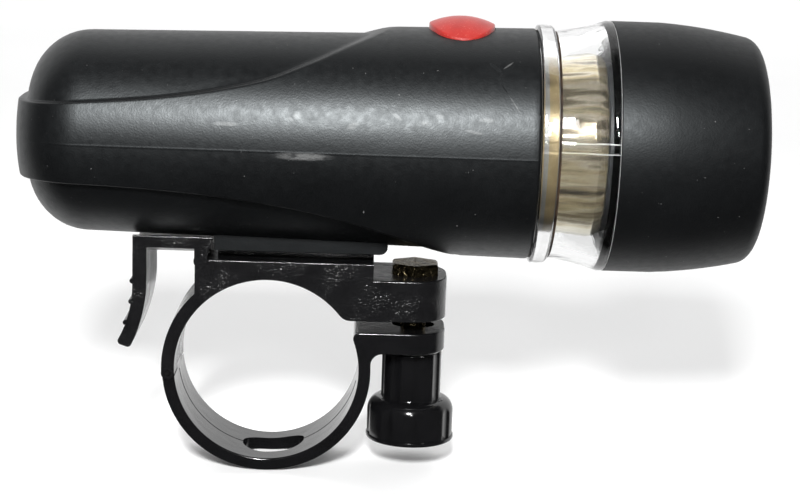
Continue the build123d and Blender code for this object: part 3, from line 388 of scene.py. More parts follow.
# %% [markdown]
# Turned parts make up most of the light: the head, the clear ring, the reflector, the lens and the LEDs.
# A lathe does them all. It takes the half section that a designer would draw, softens its corners as a
# mould does, and turns it about the lamp axis. Blender's Spin or Screw would also do it, but points and
# faces made directly keep the corners where the drawing has them. A clear moulding can also get the fine
# raised seam that its two mould halves leave. The seam runs down both sides, leaning a little from level,
# and stops where it would stand past the bezel.

# %% Section corners and arcs
CORNER_STEPS = 3
CORNER_SHARE = 0.4
BLUNT_CORNER = radians(155)


def eased(section, radius):
    """The same closed section with each real corner drawn round."""
    soft = []
    for index, corner in enumerate(section):
        corner = Vector(corner)
        before = Vector(section[index - 1]) - corner
        after = Vector(section[(index + 1) % len(section)]) - corner
        on_axis = corner.y < WELD
        if on_axis or before.length < WELD or after.length < WELD or before.angle(after) > BLUNT_CORNER:
            soft.append(tuple(corner))
            continue
        reach = min(radius, CORNER_SHARE * before.length, CORNER_SHARE * after.length)
        start = corner + before.normalized() * reach
        end = corner + after.normalized() * reach
        for step in range(CORNER_STEPS + 1):
            share = step / CORNER_STEPS
            soft.append(tuple(
                start * (1 - share) ** 2 + corner * 2 * share * (1 - share) + end * share**2
            ))
    return soft


def bow(start, through, end, steps=10):
    """Points on the round arc from one point through another to a third."""
    (ax, ay), (bx, by), (cx, cy) = start, through, end
    turn = 2 * (ax * (by - cy) + bx * (cy - ay) + cx * (ay - by))
    a2, b2, c2 = ax**2 + ay**2, bx**2 + by**2, cx**2 + cy**2
    mx = (a2 * (by - cy) + b2 * (cy - ay) + c2 * (ay - by)) / turn
    my = (a2 * (cx - bx) + b2 * (ax - cx) + c2 * (bx - ax)) / turn
    arm = Vector((ax - mx, ay - my))
    sweep = arm.angle_signed(Vector((cx - mx, cy - my)))
    points = []
    for step in range(steps + 1):
        spoke = arm.copy()
        spoke.rotate(Matrix.Rotation(-sweep * step / steps, 2))
        points.append((mx + spoke.x, my + spoke.y))
    return points


print("a corner is rounded in", CORNER_STEPS, "steps")

# %% Lathe
bezel_low, bezel_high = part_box("bezel")
AXIS_Z = (bezel_low.z + bezel_high.z) / 2
BEZEL_R = (bezel_high.z - bezel_low.z) / 2
TURN_STEPS = 224
SEAM_HALF_TURN = (2.0, 2.4)
SEAM_SLACK = 0.05
SEAM_LEAN = radians(-6.5)
SEAM_BAND = 3 * MM


def off_seam_turn(angle):
    """How far round a place is from the nearer seam, in radians."""
    return abs((angle - SEAM_LEAN + pi / 2) % pi - pi / 2)


def lathe(
    name, section, body, slot, finish, nodes=(), soften=0.15 * MM, centre=None, seam=0.0, sharp=SHARP_ANGLE
):
    """Turns a closed (along, radius) section about the lamp axis or one beside it, seamed if asked."""
    middle_y, middle_z = centre or (0, AXIS_Z)
    section = eased(section, soften)
    angles = [2 * pi * step / TURN_STEPS for step in range(TURN_STEPS)]
    if seam:
        shoulders = (-SEAM_HALF_TURN[1], -SEAM_HALF_TURN[0], *SEAM_HALF_TURN)
        seams = [SEAM_LEAN + side + radians(shoulder) for side in (0, pi) for shoulder in shoulders]
        angles = sorted(turn % (2 * pi) for turn in angles + seams)
    outer = max(radius for _, radius in section) - SEAM_BAND
    points = []
    for along, radius in section:
        for angle in angles:
            on_seam = off_seam_turn(angle) < radians(SEAM_HALF_TURN[0] + SEAM_SLACK)
            proud = seam if radius > outer and on_seam else 0
            reach = min(radius + proud, max(radius, BEZEL_R))
            points.append((
                along,
                middle_y + reach * cos(angle),
                middle_z + reach * sin(angle),
            ))
    faces = ring_faces(len(section), len(angles))
    return make_piece(name, points, faces, body, slot, finish, nodes, sharp)


print("lamp axis at", round(AXIS_Z / MM, 2), "mm, bezel radius", round(BEZEL_R / MM, 2), "mm")

# %% [markdown]
# Holes and slots that aren't turned are cut with upright closed shapes. The cut is worked out at once and
# the shape thrown away, so that no hidden cutter is left in the scene.

# %% Cutting
def cut_away(piece, *tools):
    """Cuts other closed shapes out of a piece, then clears the shapes away."""
    for tool in tools:
        cutter = piece.modifiers.new("cut", "BOOLEAN")
        cutter.object = tool
        cutter.operation = "DIFFERENCE"
        cutter.solver = "EXACT"
    bpy.context.view_layer.update()
    seen = piece.evaluated_get(bpy.context.evaluated_depsgraph_get())
    cut_mesh = bpy.data.meshes.new_from_object(seen)
    piece.modifiers.clear()
    piece.data = cut_mesh
    piece.data.set_sharp_from_angle(angle=radians(SHARP_ANGLE))
    for tool in tools:
        bpy.data.objects.remove(tool)
    print(piece.name, "after cutting has", len(piece.data.polygons), "faces")


def plug(name, outline, low, high):
    """A closed upright prism over an outline of (x, y) points, to cut with."""
    mesh = bpy.data.meshes.new(name)
    points, faces = capped_rings([[(x, y, z) for x, y in outline] for z in (low, high)])
    mesh.from_pydata(points, [], faces)
    tool = bpy.data.objects.new(name, mesh)
    bpy.context.scene.collection.objects.link(tool)
    return tool


def oval(middle, half_x, half_y, steps=96):
    """An ellipse of (x, y) points."""
    turns = [2 * pi * step / steps for step in range(steps)]
    return [(middle + half_x * cos(turn), half_y * sin(turn)) for turn in turns]


print("an oval to cut with has", len(oval(0, 1, 1)), "points")

# %% [markdown]
# Satin black is the finish of the barrel and the head. The moulds for such shells are spark-eroded, so the
# plastic carries a fine even grain that spreads a reflection into a soft band. Use leaves dust, paler rubs
# where the plastic met something hard, and a few dull scratches. The grain is a fine bump. The rubs and
# scratches are soft spots placed one by one along the side, each a middle and half sizes in millimetres and
# some a lean in degrees, and a streaky noise breaks the rubs up.

# %% Rubs and scratches
RUBS = (
    ((4.2, -16.1, 40.5), (0.8, 3, 0.7)),
    ((3.4, -16.2, 39.9), (0.7, 3, 0.3), 45),
    ((12.4, -16.5, 39.4), (1.3, 3, 0.6), -25),
    ((18.6, -16.2, 40.8), (1.1, 3, 0.3), 35),
    ((22.7, -16.6, 40.0), (0.8, 3, 0.6)),
    ((24.7, -16.3, 41.0), (0.8, 3, 0.4)),
    ((31.6, -16.5, 40.7), (1.5, 3, 0.4)),
    ((29.7, -17.0, 39.0), (1.7, 3, 0.35), 10),
    ((-6.0, -16.3, 39.0), (2.4, 3, 0.4)),
    ((5.2, -16.9, 34.7), (5.2, 3, 0.7)),
    ((35.5, -15.6, 43.0), (1.6, 3, 0.14), 55),
    ((34.6, -11.6, 48.2), (1.1, 3, 0.14), -32),
)
SCRATCHES = (
    ((32.7, -11.9, 47.9), (1.5, 3, 0.3), 33),
    ((33.4, -13.1, 46.7), (0.9, 3, 0.16), -63),
    ((33.9, -14.3, 45.2), (1.5, 3, 0.17), 53),
)


def spot(finish, middle, half, lean=0.0):
    """A soft spot, full at its middle and gone at its half sizes, all in mm, leaning by some degrees."""
    place = finish.node_tree.nodes.new("ShaderNodeTexCoord")
    mapping = finish.node_tree.nodes.new("ShaderNodeMapping")
    mapping.vector_type = "TEXTURE"
    mapping.inputs["Location"].default_value = [side * MM for side in middle]
    mapping.inputs["Rotation"].default_value = (0, radians(lean), 0)
    mapping.inputs["Scale"].default_value = [size * MM for size in half]
    fade = finish.node_tree.nodes.new("ShaderNodeTexGradient")
    fade.gradient_type = "SPHERICAL"
    joined(finish, place.outputs["Object"], mapping.inputs["Vector"])
    joined(finish, mapping.outputs["Vector"], fade.inputs["Vector"])
    return fade.outputs["Fac"]


def any_of(finish, spots):
    """Wherever one of several spots is, as one amount."""
    most = None
    for middle, half, *lean in spots:
        here = spot(finish, middle, half, *lean)
        most = product(finish, most, here, "MAXIMUM") if most else here
    return most


print(len(RUBS), "rubs and", len(SCRATCHES), "scratches")


# %% Satin black
def satin_black(name, gloss, sheen_range, rubs=(), scratches=()):
    """Spark-eroded black plastic with a fine grain, faint clouding, dust, and any rubs and scratches."""
    finish, shader = new_finish(
        name, 0.45, Specular_IOR_Level=gloss, Specular_Tint=(0.92, 0.98, 1.0, 1.0)
    )
    clouds = ramp(
        finish, noise(finish, 9 * MM, 4), (0.3, (0.0017, 0.0018, 0.0021)), (0.7, (0.0028, 0.003, 0.0034))
    )
    dust = ramp(finish, noise(finish, 0.5 * MM, 1), (0.79, 0.0), (0.82, 1.0))
    pale = ramp(finish, noise(finish, 2 * MM), (0.0, (0.06, 0.06, 0.06)), (1.0, (0.12, 0.12, 0.118)))
    colour = blended(finish, dust, clouds, pale)
    sheen = ramp(finish, noise(finish, 1.1 * MM, 6), (0.3, sheen_range[0]), (0.7, sheen_range[1]))
    if rubs:
        broken_up = noise(finish, 0.8 * MM, 6, piece_place(finish, (0.5, 1, 1.6)))
        streaks = ramp(finish, broken_up, (0.35, 0.2), (0.56, 1.0))
        rubbed = ramp(finish, any_of(finish, rubs), (0.05, 0.0), (0.55, 0.85))
        colour = blended(finish, product(finish, rubbed, streaks), colour, pale)
    if scratches:
        cut = ramp(finish, any_of(finish, scratches), (0.1, 0.0), (0.5, 1.0))
        sheen = product(finish, sheen, cut, "MAXIMUM")
    joined(finish, colour, shader.inputs["Base Color"])
    joined(finish, sheen, shader.inputs["Roughness"])
    pits = bumped(finish, shader, noise(finish, 0.9 * MM, 4), 0.012 * MM)
    bumped(finish, shader, noise(finish, 0.28 * MM, 2), 0.016 * MM, under=pits)
    return finish


barrel_black = satin_black("satin_black_barrel", 0.45, (0.375, 0.455), RUBS, SCRATCHES)
head_black = satin_black("satin_black_head", 0.3, (0.43, 0.5))
print("satin black for", barrel_black.name, "and", head_black.name)

# %% [markdown]
# The barrel is a drafted tube with a rounded tail. Two panels, above and below, are sunk a millimetre
# into it, so that a raised band is left along each side and round the tail, wide at the front and narrow
# behind. Sinking the panels with booleans would leave long thin faces along their curved edges. Here the
# whole surface is one grid instead: at each station along the beam, the rows of points gather at the
# band's edges, where the radius steps down to the panel with a small round at the top and bottom. A fine
# ridge half way up each side is the mould's parting line. The band's edges are smooth curves through
# knots, each a place behind the barrel's front and a height above or below the axis, in millimetres.

# %% Barrel places
barrel_low, barrel_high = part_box("barrel")
BARREL_TAIL, BARREL_FRONT = barrel_low.x, barrel_high.x
BARREL_FRONT_R = 17.6 * MM
BARREL_DRAFT = tan(radians(1.1))
TAIL_ROUND = 10.5 * MM
PANEL_DEPTH = 1.0 * MM
PANEL_SETBACK = 1.3 * MM
PANEL_TAIL = BARREL_TAIL + PANEL_SETBACK
PANEL_ROUND = TAIL_ROUND - PANEL_SETBACK
ROUND_X = BARREL_TAIL + TAIL_ROUND
BAND_TOP = [
    (-81.5, 5.1), (-69.5, 5.9), (-54.3, 7.3), (-40.9, 9.8), (-33.7, 12.5), (-28.1, 14.9), (-18.0, 18.8)
]
BAND_BOTTOM = [
    (-81.5, 6.2), (-69.5, 5.9), (-54.3, 6.5), (-40.5, 8.0), (-30.4, 10.0), (-21.0, 13.1), (-9.0, 18.2)
]


def smooth_line(knots, x):
    """Height of a smooth curve through the knots at a place x. Past its ends it runs on straight."""
    at = (x - BARREL_FRONT) / MM
    slopes = []
    for index in range(len(knots)):
        (x0, y0), (x1, y1) = knots[max(index - 1, 0)], knots[min(index + 1, len(knots) - 1)]
        slopes.append((y1 - y0) / (x1 - x0))
    if at <= knots[0][0]:
        return (knots[0][1] + slopes[0] * (at - knots[0][0])) * MM
    if at >= knots[-1][0]:
        return (knots[-1][1] + slopes[-1] * (at - knots[-1][0])) * MM
    index = max(i for i in range(len(knots) - 1) if knots[i][0] <= at)
    (x0, y0), (x1, y1) = knots[index], knots[index + 1]
    width = x1 - x0
    t = (at - x0) / width
    height = y0 * (1 + 2 * t) * (1 - t) ** 2 + y1 * t * t * (3 - 2 * t)
    height += width * (slopes[index] * t * (1 - t) ** 2 - slopes[index + 1] * t * t * (1 - t))
    return height * MM


def drafted_radius(x, tail, rounding, inset):
    """Radius of the drafted tube, or of the round at its tail, and nothing behind the tail."""
    plain = BARREL_FRONT_R - inset - (BARREL_FRONT - x) * BARREL_DRAFT
    if x >= ROUND_X:
        return plain
    if x < tail - WELD:
        return 0.0
    hub = BARREL_FRONT_R - inset - (BARREL_FRONT - ROUND_X) * BARREL_DRAFT - rounding
    return hub + sqrt(max(0.0, rounding**2 - (x - ROUND_X) ** 2))


print("barrel from", round(BARREL_TAIL / MM, 2), "to", round(BARREL_FRONT / MM, 2), "mm")

# %% Barrel section
EDGE_ROUND = 0.5 * MM
FOOT_ROUND = 0.35 * MM
PARTING_HEIGHT = 0.02 * MM
PARTING_HALF = radians(0.55)
FLAT_ANGLE = 0.01


def soft_least(a, b, width):
    """The smaller of two lengths, with the corner between them rounded."""
    near = max(width - abs(a - b), 0) / width
    return min(a, b) - near * near * width / 4


def section_radius(x, angle, behind_panels):
    """Radius of the barrel at a place along the beam and an angle above or below its side."""
    raised = drafted_radius(x, BARREL_TAIL, TAIL_ROUND, 0)
    sunk = 0.0 if behind_panels else drafted_radius(x, PANEL_TAIL, PANEL_ROUND, PANEL_DEPTH)
    ledge = smooth_line(BAND_TOP if angle > 0 else BAND_BOTTOM, x)
    if abs(sin(angle)) > FLAT_ANGLE:
        raised = soft_least(raised, ledge / abs(sin(angle)), EDGE_ROUND)
    if sunk > 0:
        raised = -soft_least(-raised, -sunk, FOOT_ROUND)
    return raised + PARTING_HEIGHT * max(0.0, 1 - (angle / PARTING_HALF) ** 2)


print("radius at the front, on the parting line:", round(section_radius(BARREL_FRONT, 0, False) / MM, 2))

# %% Rows round the barrel
EDGE_ROWS = (-2.6, -1.6, -0.9, -0.4, 0.0, 0.4)
STEP_ROWS = (0.5, 0.75, 1.0)
FOOT_ROWS = (0.5, 1.2)
PANEL_ROWS = 20
BAND_ROWS = 9


def edge_angle(height, radius):
    """The angle at which a surface of this radius meets the band's edge, straight up if it never does."""
    return asin(min(1.0, height / radius)) if radius > height else pi / 2


def quarter_rows(x, knots, behind_panels):
    """Row angles from the parting line over the band's edge to the middle of the panel."""
    raised = drafted_radius(x, BARREL_TAIL, TAIL_ROUND, 0)
    sunk = 0.0 if behind_panels else drafted_radius(x, PANEL_TAIL, PANEL_ROUND, PANEL_DEPTH)
    height = smooth_line(knots, x)
    outer, inner = edge_angle(height, raised), edge_angle(height, max(sunk, WELD))
    rows = [PARTING_HALF * share for share in (0, 0.5, 1, 2)]
    band_end = max(outer + radians(EDGE_ROWS[0]), rows[-1])
    rows += [rows[-1] + (band_end - rows[-1]) * step / BAND_ROWS for step in range(1, BAND_ROWS)]
    rows += [outer + radians(row) for row in EDGE_ROWS]
    rows += [outer + (inner - outer) * share for share in STEP_ROWS]
    rows += [inner + radians(row) for row in FOOT_ROWS]
    rows += [rows[-1] + (pi / 2 - rows[-1]) * step / PANEL_ROWS for step in range(1, PANEL_ROWS + 1)]
    kept = 0.0
    climbing = []
    for row in rows:
        kept = min(max(kept, row), pi / 2)
        climbing.append(kept)
    return climbing


def barrel_ring(x, behind_panels=False, radius=None):
    """One ring of points round the barrel, on its surface or at a plain radius."""
    above = quarter_rows(x, BAND_TOP, behind_panels)
    below = quarter_rows(x, BAND_BOTTOM, behind_panels)
    rows = [-angle for angle in reversed(below[1:])] + above
    near_side, far_side = [], []
    for angle in rows:
        r = section_radius(x, angle, behind_panels) if radius is None else radius
        near_side.append((x, -r * cos(angle), AXIS_Z + r * sin(angle)))
        far_side.append((x, r * cos(angle), AXIS_Z + r * sin(angle)))
    return near_side + far_side[-2:0:-1]


print("a ring has", len(barrel_ring(0)), "points")

# %% Barrel surface
STATION = 0.75 * MM
TAIL_STEPS = 16
FRONT_EDGE_STEPS = 4
CAVITY_ROUND_STEPS = 8
BARREL_SHARP_ANGLE = 50
FRONT_EDGE_R = 0.5 * MM
SPIGOT_HOLE_R = 15.2 * MM
SPIGOT_HOLE_DEPTH = 4.8 * MM
CAVITY_R = 13.2 * MM
WALL = 2.0 * MM

rings = []
for step in range(TAIL_STEPS + 1):
    x = ROUND_X - TAIL_ROUND * cos(pi / 2 * step / TAIL_STEPS)
    if x < PANEL_TAIL:
        rings.append(barrel_ring(x, behind_panels=True))
rings.append(barrel_ring(PANEL_TAIL, behind_panels=True))
for step in range(TAIL_STEPS):
    rings.append(barrel_ring(ROUND_X - PANEL_ROUND * cos(pi / 2 * step / TAIL_STEPS)))
straight = BARREL_FRONT - FRONT_EDGE_R - ROUND_X
straight_steps = round(straight / STATION)
for step in range(straight_steps):
    rings.append(barrel_ring(ROUND_X + straight * step / straight_steps))
for step in range(FRONT_EDGE_STEPS + 1):
    turn = pi / 2 * step / FRONT_EDGE_STEPS
    rim = barrel_ring(BARREL_FRONT - FRONT_EDGE_R + FRONT_EDGE_R * sin(turn))
    shrink = 1 - FRONT_EDGE_R * (1 - cos(turn)) / BARREL_FRONT_R
    rings.append([(x, y * shrink, AXIS_Z + (z - AXIS_Z) * shrink) for x, y, z in rim])
cavity_back = PANEL_TAIL + WALL
inner_round = PANEL_ROUND - WALL
hole_back = BARREL_FRONT - SPIGOT_HOLE_DEPTH
for x, radius in ((BARREL_FRONT, SPIGOT_HOLE_R), (hole_back, SPIGOT_HOLE_R), (hole_back, CAVITY_R)):
    rings.append(barrel_ring(x, radius=radius))
for step in range(CAVITY_ROUND_STEPS + 1):
    turn = pi / 2 * step / CAVITY_ROUND_STEPS
    rings.append(barrel_ring(
        cavity_back + inner_round * (1 - sin(turn)), radius=CAVITY_R - inner_round * (1 - cos(turn))
    ))
barrel = make_piece(
    "barrel_shell",
    *capped_rings(rings),
    "light",
    "shell_black",
    barrel_black,
    ["barrel"],
    sharp=BARREL_SHARP_ANGLE,
)

# %% [markdown]
# The button sits in an oval hole over a wider pocket for its flange, and the rail of the clamp needs a
# channel under the tail to leave by. All are cut with closed shapes a little larger than what goes
# through them.

# %% Button hole and rail channel
button_low, button_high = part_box("switch_button")
BUTTON_X = (button_low.x + button_high.x) / 2
BUTTON_HALF_X = 4.98 * MM
BUTTON_HALF_Y = 6.6 * MM
FREE_GAP = 0.1 * MM
BUTTON_FLANGE = 0.8 * MM
FLANGE_TOP = 14.7 * MM
_, saddle_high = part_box("clamp_saddle")
RAIL_HALF = 4.5 * MM
RAIL_CHANNEL_TOP = saddle_high.z + FREE_GAP
CHANNEL_FRONT = 16.0 * MM
BELOW_BARREL = 10 * MM
ABOVE_BARREL = AXIS_Z + 25 * MM


def open_behind(rear, half):
    """The (x, y) outline of a channel of a half width that runs out past a rear end."""
    return [(rear - MM, -half), (CHANNEL_FRONT, -half), (CHANNEL_FRONT, half), (rear - MM, half)]


hole_half = (BUTTON_HALF_X + FREE_GAP, BUTTON_HALF_Y + FREE_GAP)
pocket_half = (BUTTON_HALF_X + BUTTON_FLANGE + FREE_GAP, BUTTON_HALF_Y + BUTTON_FLANGE + FREE_GAP)
cut_away(
    barrel,
    plug("hole", oval(BUTTON_X, *hole_half), AXIS_Z, ABOVE_BARREL),
    plug("pocket", oval(BUTTON_X, *pocket_half), AXIS_Z, AXIS_Z + FLANGE_TOP),
    plug("channel", open_behind(BARREL_TAIL, RAIL_HALF), BELOW_BARREL, RAIL_CHANNEL_TOP),
)

# %% [markdown]
# Under the barrel a foot holds the T-shaped slot that slides on the clamp's rail. It is a plain block in
# the same moulding, closed at the front, with its edges broken. A bevel modifier after the cut keeps them
# alike.

# %% Foot
FOOT_REAR = -8.3 * MM
FOOT_FRONT = 18.0 * MM
FOOT_HALF = 6.0 * MM
FOOT_BOTTOM = 18.3 * MM
FOOT_TOP = 21.6 * MM
FOOT_NOSE_R = 1.2 * MM
FOOT_EDGE = 0.15 * MM
SLOT_NECK_HALF = 2.6 * MM
SLOT_HEAD_BOTTOM = 19.5 * MM
NOSE_STEPS = 6


def foot_points(y):
    """The foot's outline seen from the side, at one depth."""
    outline = [(FOOT_REAR, y, FOOT_TOP), (FOOT_REAR, y, FOOT_BOTTOM)]
    for step in range(NOSE_STEPS + 1):
        turn = pi / 2 * step / NOSE_STEPS
        outline.append((
            FOOT_FRONT - FOOT_NOSE_R + FOOT_NOSE_R * sin(turn),
            y,
            FOOT_BOTTOM + FOOT_NOSE_R - FOOT_NOSE_R * cos(turn),
        ))
    outline.append((FOOT_FRONT, y, FOOT_TOP))
    return outline


foot = make_piece(
    "barrel_foot",
    *capped_rings([foot_points(-FOOT_HALF), foot_points(FOOT_HALF)]),
    "light",
    "shell_black",
    head_black,
)
slot_neck = open_behind(FOOT_REAR, SLOT_NECK_HALF)
cut_away(
    foot,
    plug("slot_neck", slot_neck, BELOW_BARREL, SLOT_HEAD_BOTTOM + FREE_GAP),
    plug("slot_head", open_behind(FOOT_REAR, RAIL_HALF), SLOT_HEAD_BOTTOM, RAIL_CHANNEL_TOP),
)
broken = foot.modifiers.new("broken_edges", "BEVEL")
broken.width = FOOT_EDGE
broken.segments = 2
broken.limit_method = "ANGLE"

# %% [markdown]
# The button is soft red rubber, an oval with a crowned top that stands a little out of the barrel. It is
# rounder across the barrel than along it, so the height of its top comes from two arcs. Rings of points
# shrink from the edge to the middle, which keeps the round shoulder even. A flange under the barrel's
# skin keeps it in.

# %% Red rubber
def red_rubber():
    """Soft red with paler specks and a dull, slightly rough skin."""
    finish, shader = new_finish(
        "red_rubber", 0.5, Specular_IOR_Level=0.4, Sheen_Weight=0.15, Sheen_Roughness=0.5
    )
    tone = ramp(
        finish, noise(finish, 2.5 * MM, 3), (0.3, (0.29, 0.011, 0.008)), (0.7, (0.37, 0.018, 0.012))
    )
    specks = ramp(finish, noise(finish, 0.22 * MM, 1), (0.66, 0.0), (0.74, 1.0))
    pink = ramp(finish, noise(finish, MM), (0.0, (0.42, 0.08, 0.055)), (1.0, (0.5, 0.15, 0.12)))
    joined(finish, blended(finish, specks, tone, pink), shader.inputs["Base Color"])
    bumped(finish, shader, noise(finish, 0.2 * MM, 2), 0.02 * MM)
    return finish


button_rubber = red_rubber()
print("button finish:", button_rubber.name)

# %% Push button
CROWN_Z = button_high.z - 0.2 * MM
CROWN_R_ALONG = 11.4 * MM
CROWN_R_ACROSS = 8.95 * MM
CROWN_SHARES = (0.001, 0.15, 0.3, 0.45, 0.6, 0.72, 0.82)
BUTTON_EDGE_R = 0.18 * MM
BUTTON_EDGE_STEPS = 6
BUTTON_STEPS = 128
FLANGE_DROP = 0.05 * MM


def crown_height(x, y):
    """Height of the button's crown over a place in its outline."""
    along = CROWN_Z - CROWN_R_ALONG + sqrt(CROWN_R_ALONG**2 - (x - BUTTON_X) ** 2)
    hub = CROWN_Z - CROWN_R_ACROSS
    return hub + sqrt(max(0.0, (along - hub) ** 2 - y * y))


def button_ring(share, sink=0.0, base=None, grow=0.0):
    """One oval ring on the crown, let down by a little, or at a flat height."""
    ring = []
    for step in range(BUTTON_STEPS):
        turn = 2 * pi * step / BUTTON_STEPS
        x = BUTTON_X + (BUTTON_HALF_X * share + grow) * cos(turn)
        y = (BUTTON_HALF_Y * share + grow) * sin(turn)
        ring.append((x, y, crown_height(x, y) - sink if base is None else base))
    return ring


flange_top = AXIS_Z + FLANGE_TOP - FLANGE_DROP
button_rings = [button_ring(share) for share in CROWN_SHARES]
for step in range(BUTTON_EDGE_STEPS + 1):
    turn = pi / 2 * step / BUTTON_EDGE_STEPS
    inward = BUTTON_EDGE_R * (1 - sin(turn))
    button_rings.append(button_ring(1, sink=BUTTON_EDGE_R * (1 - cos(turn)), grow=-inward))
button_rings.append(button_ring(1, base=flange_top))
button_rings.append(button_ring(1, base=flange_top, grow=BUTTON_FLANGE))
button_rings.append(button_ring(1, base=button_low.z, grow=BUTTON_FLANGE))
make_piece(
    "push_button", *capped_rings(button_rings), "button", "button_red", button_rubber, ["switch_button"]
)

# %% [markdown]
# The head's shell is straight behind, drawn in a little along its length, and rounded in to the lens
# opening. It is turned in form, though it is moulded. Its section follows the drawing from the rear edge,
# over the nose, and back along the bore.

# %% Head shell
BEZEL_REAR, BEZEL_FRONT = bezel_low.x, bezel_high.x
BEZEL_STRAIGHT = 7.2 * MM
BEZEL_WAIST = (14.4 * MM, 0.68 * MM)
BEZEL_SHOULDER = (20.3 * MM, 1.75 * MM)
BEZEL_NOSE = (21.75 * MM, 2.6 * MM)
BEZEL_FACE_DROP = 3.8 * MM
OPENING_R = 14.4 * MM
MOUTH = 0.5 * MM
LIP = 1.55 * MM
LENS_R = 15.9 * MM
NECK_R = 17.6 * MM
NECK_LENGTH = 5.2 * MM
SEAT_GAP = 0.05 * MM

straight_end = (BEZEL_REAR + BEZEL_STRAIGHT, BEZEL_R)
waist = (BEZEL_REAR + BEZEL_WAIST[0], BEZEL_R - BEZEL_WAIST[1])
shoulder = (BEZEL_REAR + BEZEL_SHOULDER[0], BEZEL_R - BEZEL_SHOULDER[1])
nose = (BEZEL_REAR + BEZEL_NOSE[0], BEZEL_R - BEZEL_NOSE[1])
face_edge = (BEZEL_FRONT, BEZEL_R - BEZEL_FACE_DROP)
neck_stop = BEZEL_REAR + NECK_LENGTH + SEAT_GAP
head_section = [(BEZEL_REAR, BEZEL_R)]
head_section += bow(straight_end, waist, shoulder, 16)
head_section += bow(shoulder, nose, face_edge, 12)[1:]
head_section += [
    (BEZEL_FRONT, OPENING_R + MOUTH),
    (BEZEL_FRONT - MOUTH, OPENING_R),
    (BEZEL_FRONT - LIP, OPENING_R),
    (BEZEL_FRONT - LIP, LENS_R + FREE_GAP),
    (neck_stop, LENS_R + FREE_GAP),
    (neck_stop, NECK_R + SEAT_GAP),
    (BEZEL_REAR, NECK_R + SEAT_GAP),
]
lathe("head_shell", head_section, "head", "shell_black", head_black, ["bezel"], soften=0.12 * MM)

# %% [markdown]
# The clear ring joins the barrel and the head, and lets light out to the sides. It is polycarbonate with
# a rounded bead behind, a groove, and a flare up to the head. Seen from the side it acts as a lens over
# the metallised skirt inside, so its wall has to be real: an inner bore, an outer form and nothing faked
# between. A trace of waviness in the surface draws the reflections out, as in any moulded clear part.
# Used plastic isn't clear all over. The front rim and the seam's shoulders have a fine matt skin whose pale
# colour is a painted highlight of the light along those edges, and the groove beside the bead gets a dark
# line of painted shade.

# %% Clear plastic, painted edge highlight and painted groove shade
def clear_plastic(name, ripple):
    """Clear moulded plastic with faint ripples and a little haze that comes and goes."""
    finish, shader = new_finish(name, 0.02, Transmission_Weight=1.0, IOR=1.5)
    tint = ramp(finish, noise(finish, 6 * MM), (0.3, (0.975, 0.98, 0.98)), (0.7, (0.995, 0.995, 0.995)))
    joined(finish, tint, shader.inputs["Base Color"])
    haze = ramp(finish, noise(finish, 3 * MM, 4), (0.35, 0.008), (0.75, 0.06))
    joined(finish, haze, shader.inputs["Roughness"])
    bumped(finish, shader, noise(finish, 2.2 * MM, 1, piece_place(finish, (1, 1, 0.6))), ripple)
    return finish


def groove_shade():
    """Painted shade in the groove beside the bead: a dark, slightly glossy line."""
    finish, shader = new_finish("groove_painted_shade", 0.55, Specular_IOR_Level=0.15)
    tone = ramp(finish, noise(finish, 2 * MM, 3), (0.3, (0.006, 0.003, 0.002)), (0.7, (0.05, 0.03, 0.018)))
    joined(finish, tone, shader.inputs["Base Color"])
    bumped(finish, shader, noise(finish, 0.3 * MM), 0.01 * MM)
    return finish


def pale_edge_highlight():
    """Clear plastic with a fine matt skin, as on the parting edge of a moulding, and a pale painted
    highlight.
    """
    finish, shader = new_finish("clear_rim_painted_highlight", 0.35, Transmission_Weight=0.7, IOR=1.5)
    tone = ramp(finish, noise(finish, 1.5 * MM, 3), (0.3, (0.55, 0.56, 0.56)), (0.7, (0.85, 0.86, 0.86)))
    joined(finish, tone, shader.inputs["Base Color"])
    bumped(finish, shader, noise(finish, 0.4 * MM), 0.01 * MM)
    return finish


ring_clear = clear_plastic("clear_ring_plastic", 0.045 * MM)
print("clear finish:", ring_clear.name)

# %% Clear ring section
clear_low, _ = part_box("clear_ring")
CLEAR_REAR = BARREL_FRONT + SEAT_GAP
CLEAR_FRONT = BEZEL_REAR - SEAT_GAP
BEAD_LENGTH = 2.6 * MM
BEAD_R = 18.2 * MM
BEAD_FOOT_R = 17.1 * MM
BEAD_REAR_ROUND = ((0.06, 0.3), (0.25, 0.03))
BEAD_FRONT_ROUND = ((0.6, 0.03), (0.2, 0.25))
BEAD_ARC_STEPS = 6
GROOVE_R = 17.3 * MM
GROOVE_SHADE_WIDTH = 0.3 * MM
GROOVE_SHADE_RISE = 0.1 * GROOVE_SHADE_WIDTH
FLARE_MID_R = 17.95 * MM
FLARE_STEPS = 16
CLEAR_RIM = 0.8 * MM
CLEAR_BORE_R = 15.4 * MM
CLEAR_WALL = 2.0 * MM
NECK_BORE_R = 16.1 * MM
CLEAR_FLOOR = 2.55 * MM
SPIGOT_R = 15.1 * MM
SPIGOT_BORE_R = 13.5 * MM
SEAL_MIDDLE = BARREL_FRONT - 1.3 * MM
SEAL_GROOVE_HALF = 0.6 * MM
SEAL_GROOVE_R = 14.0 * MM

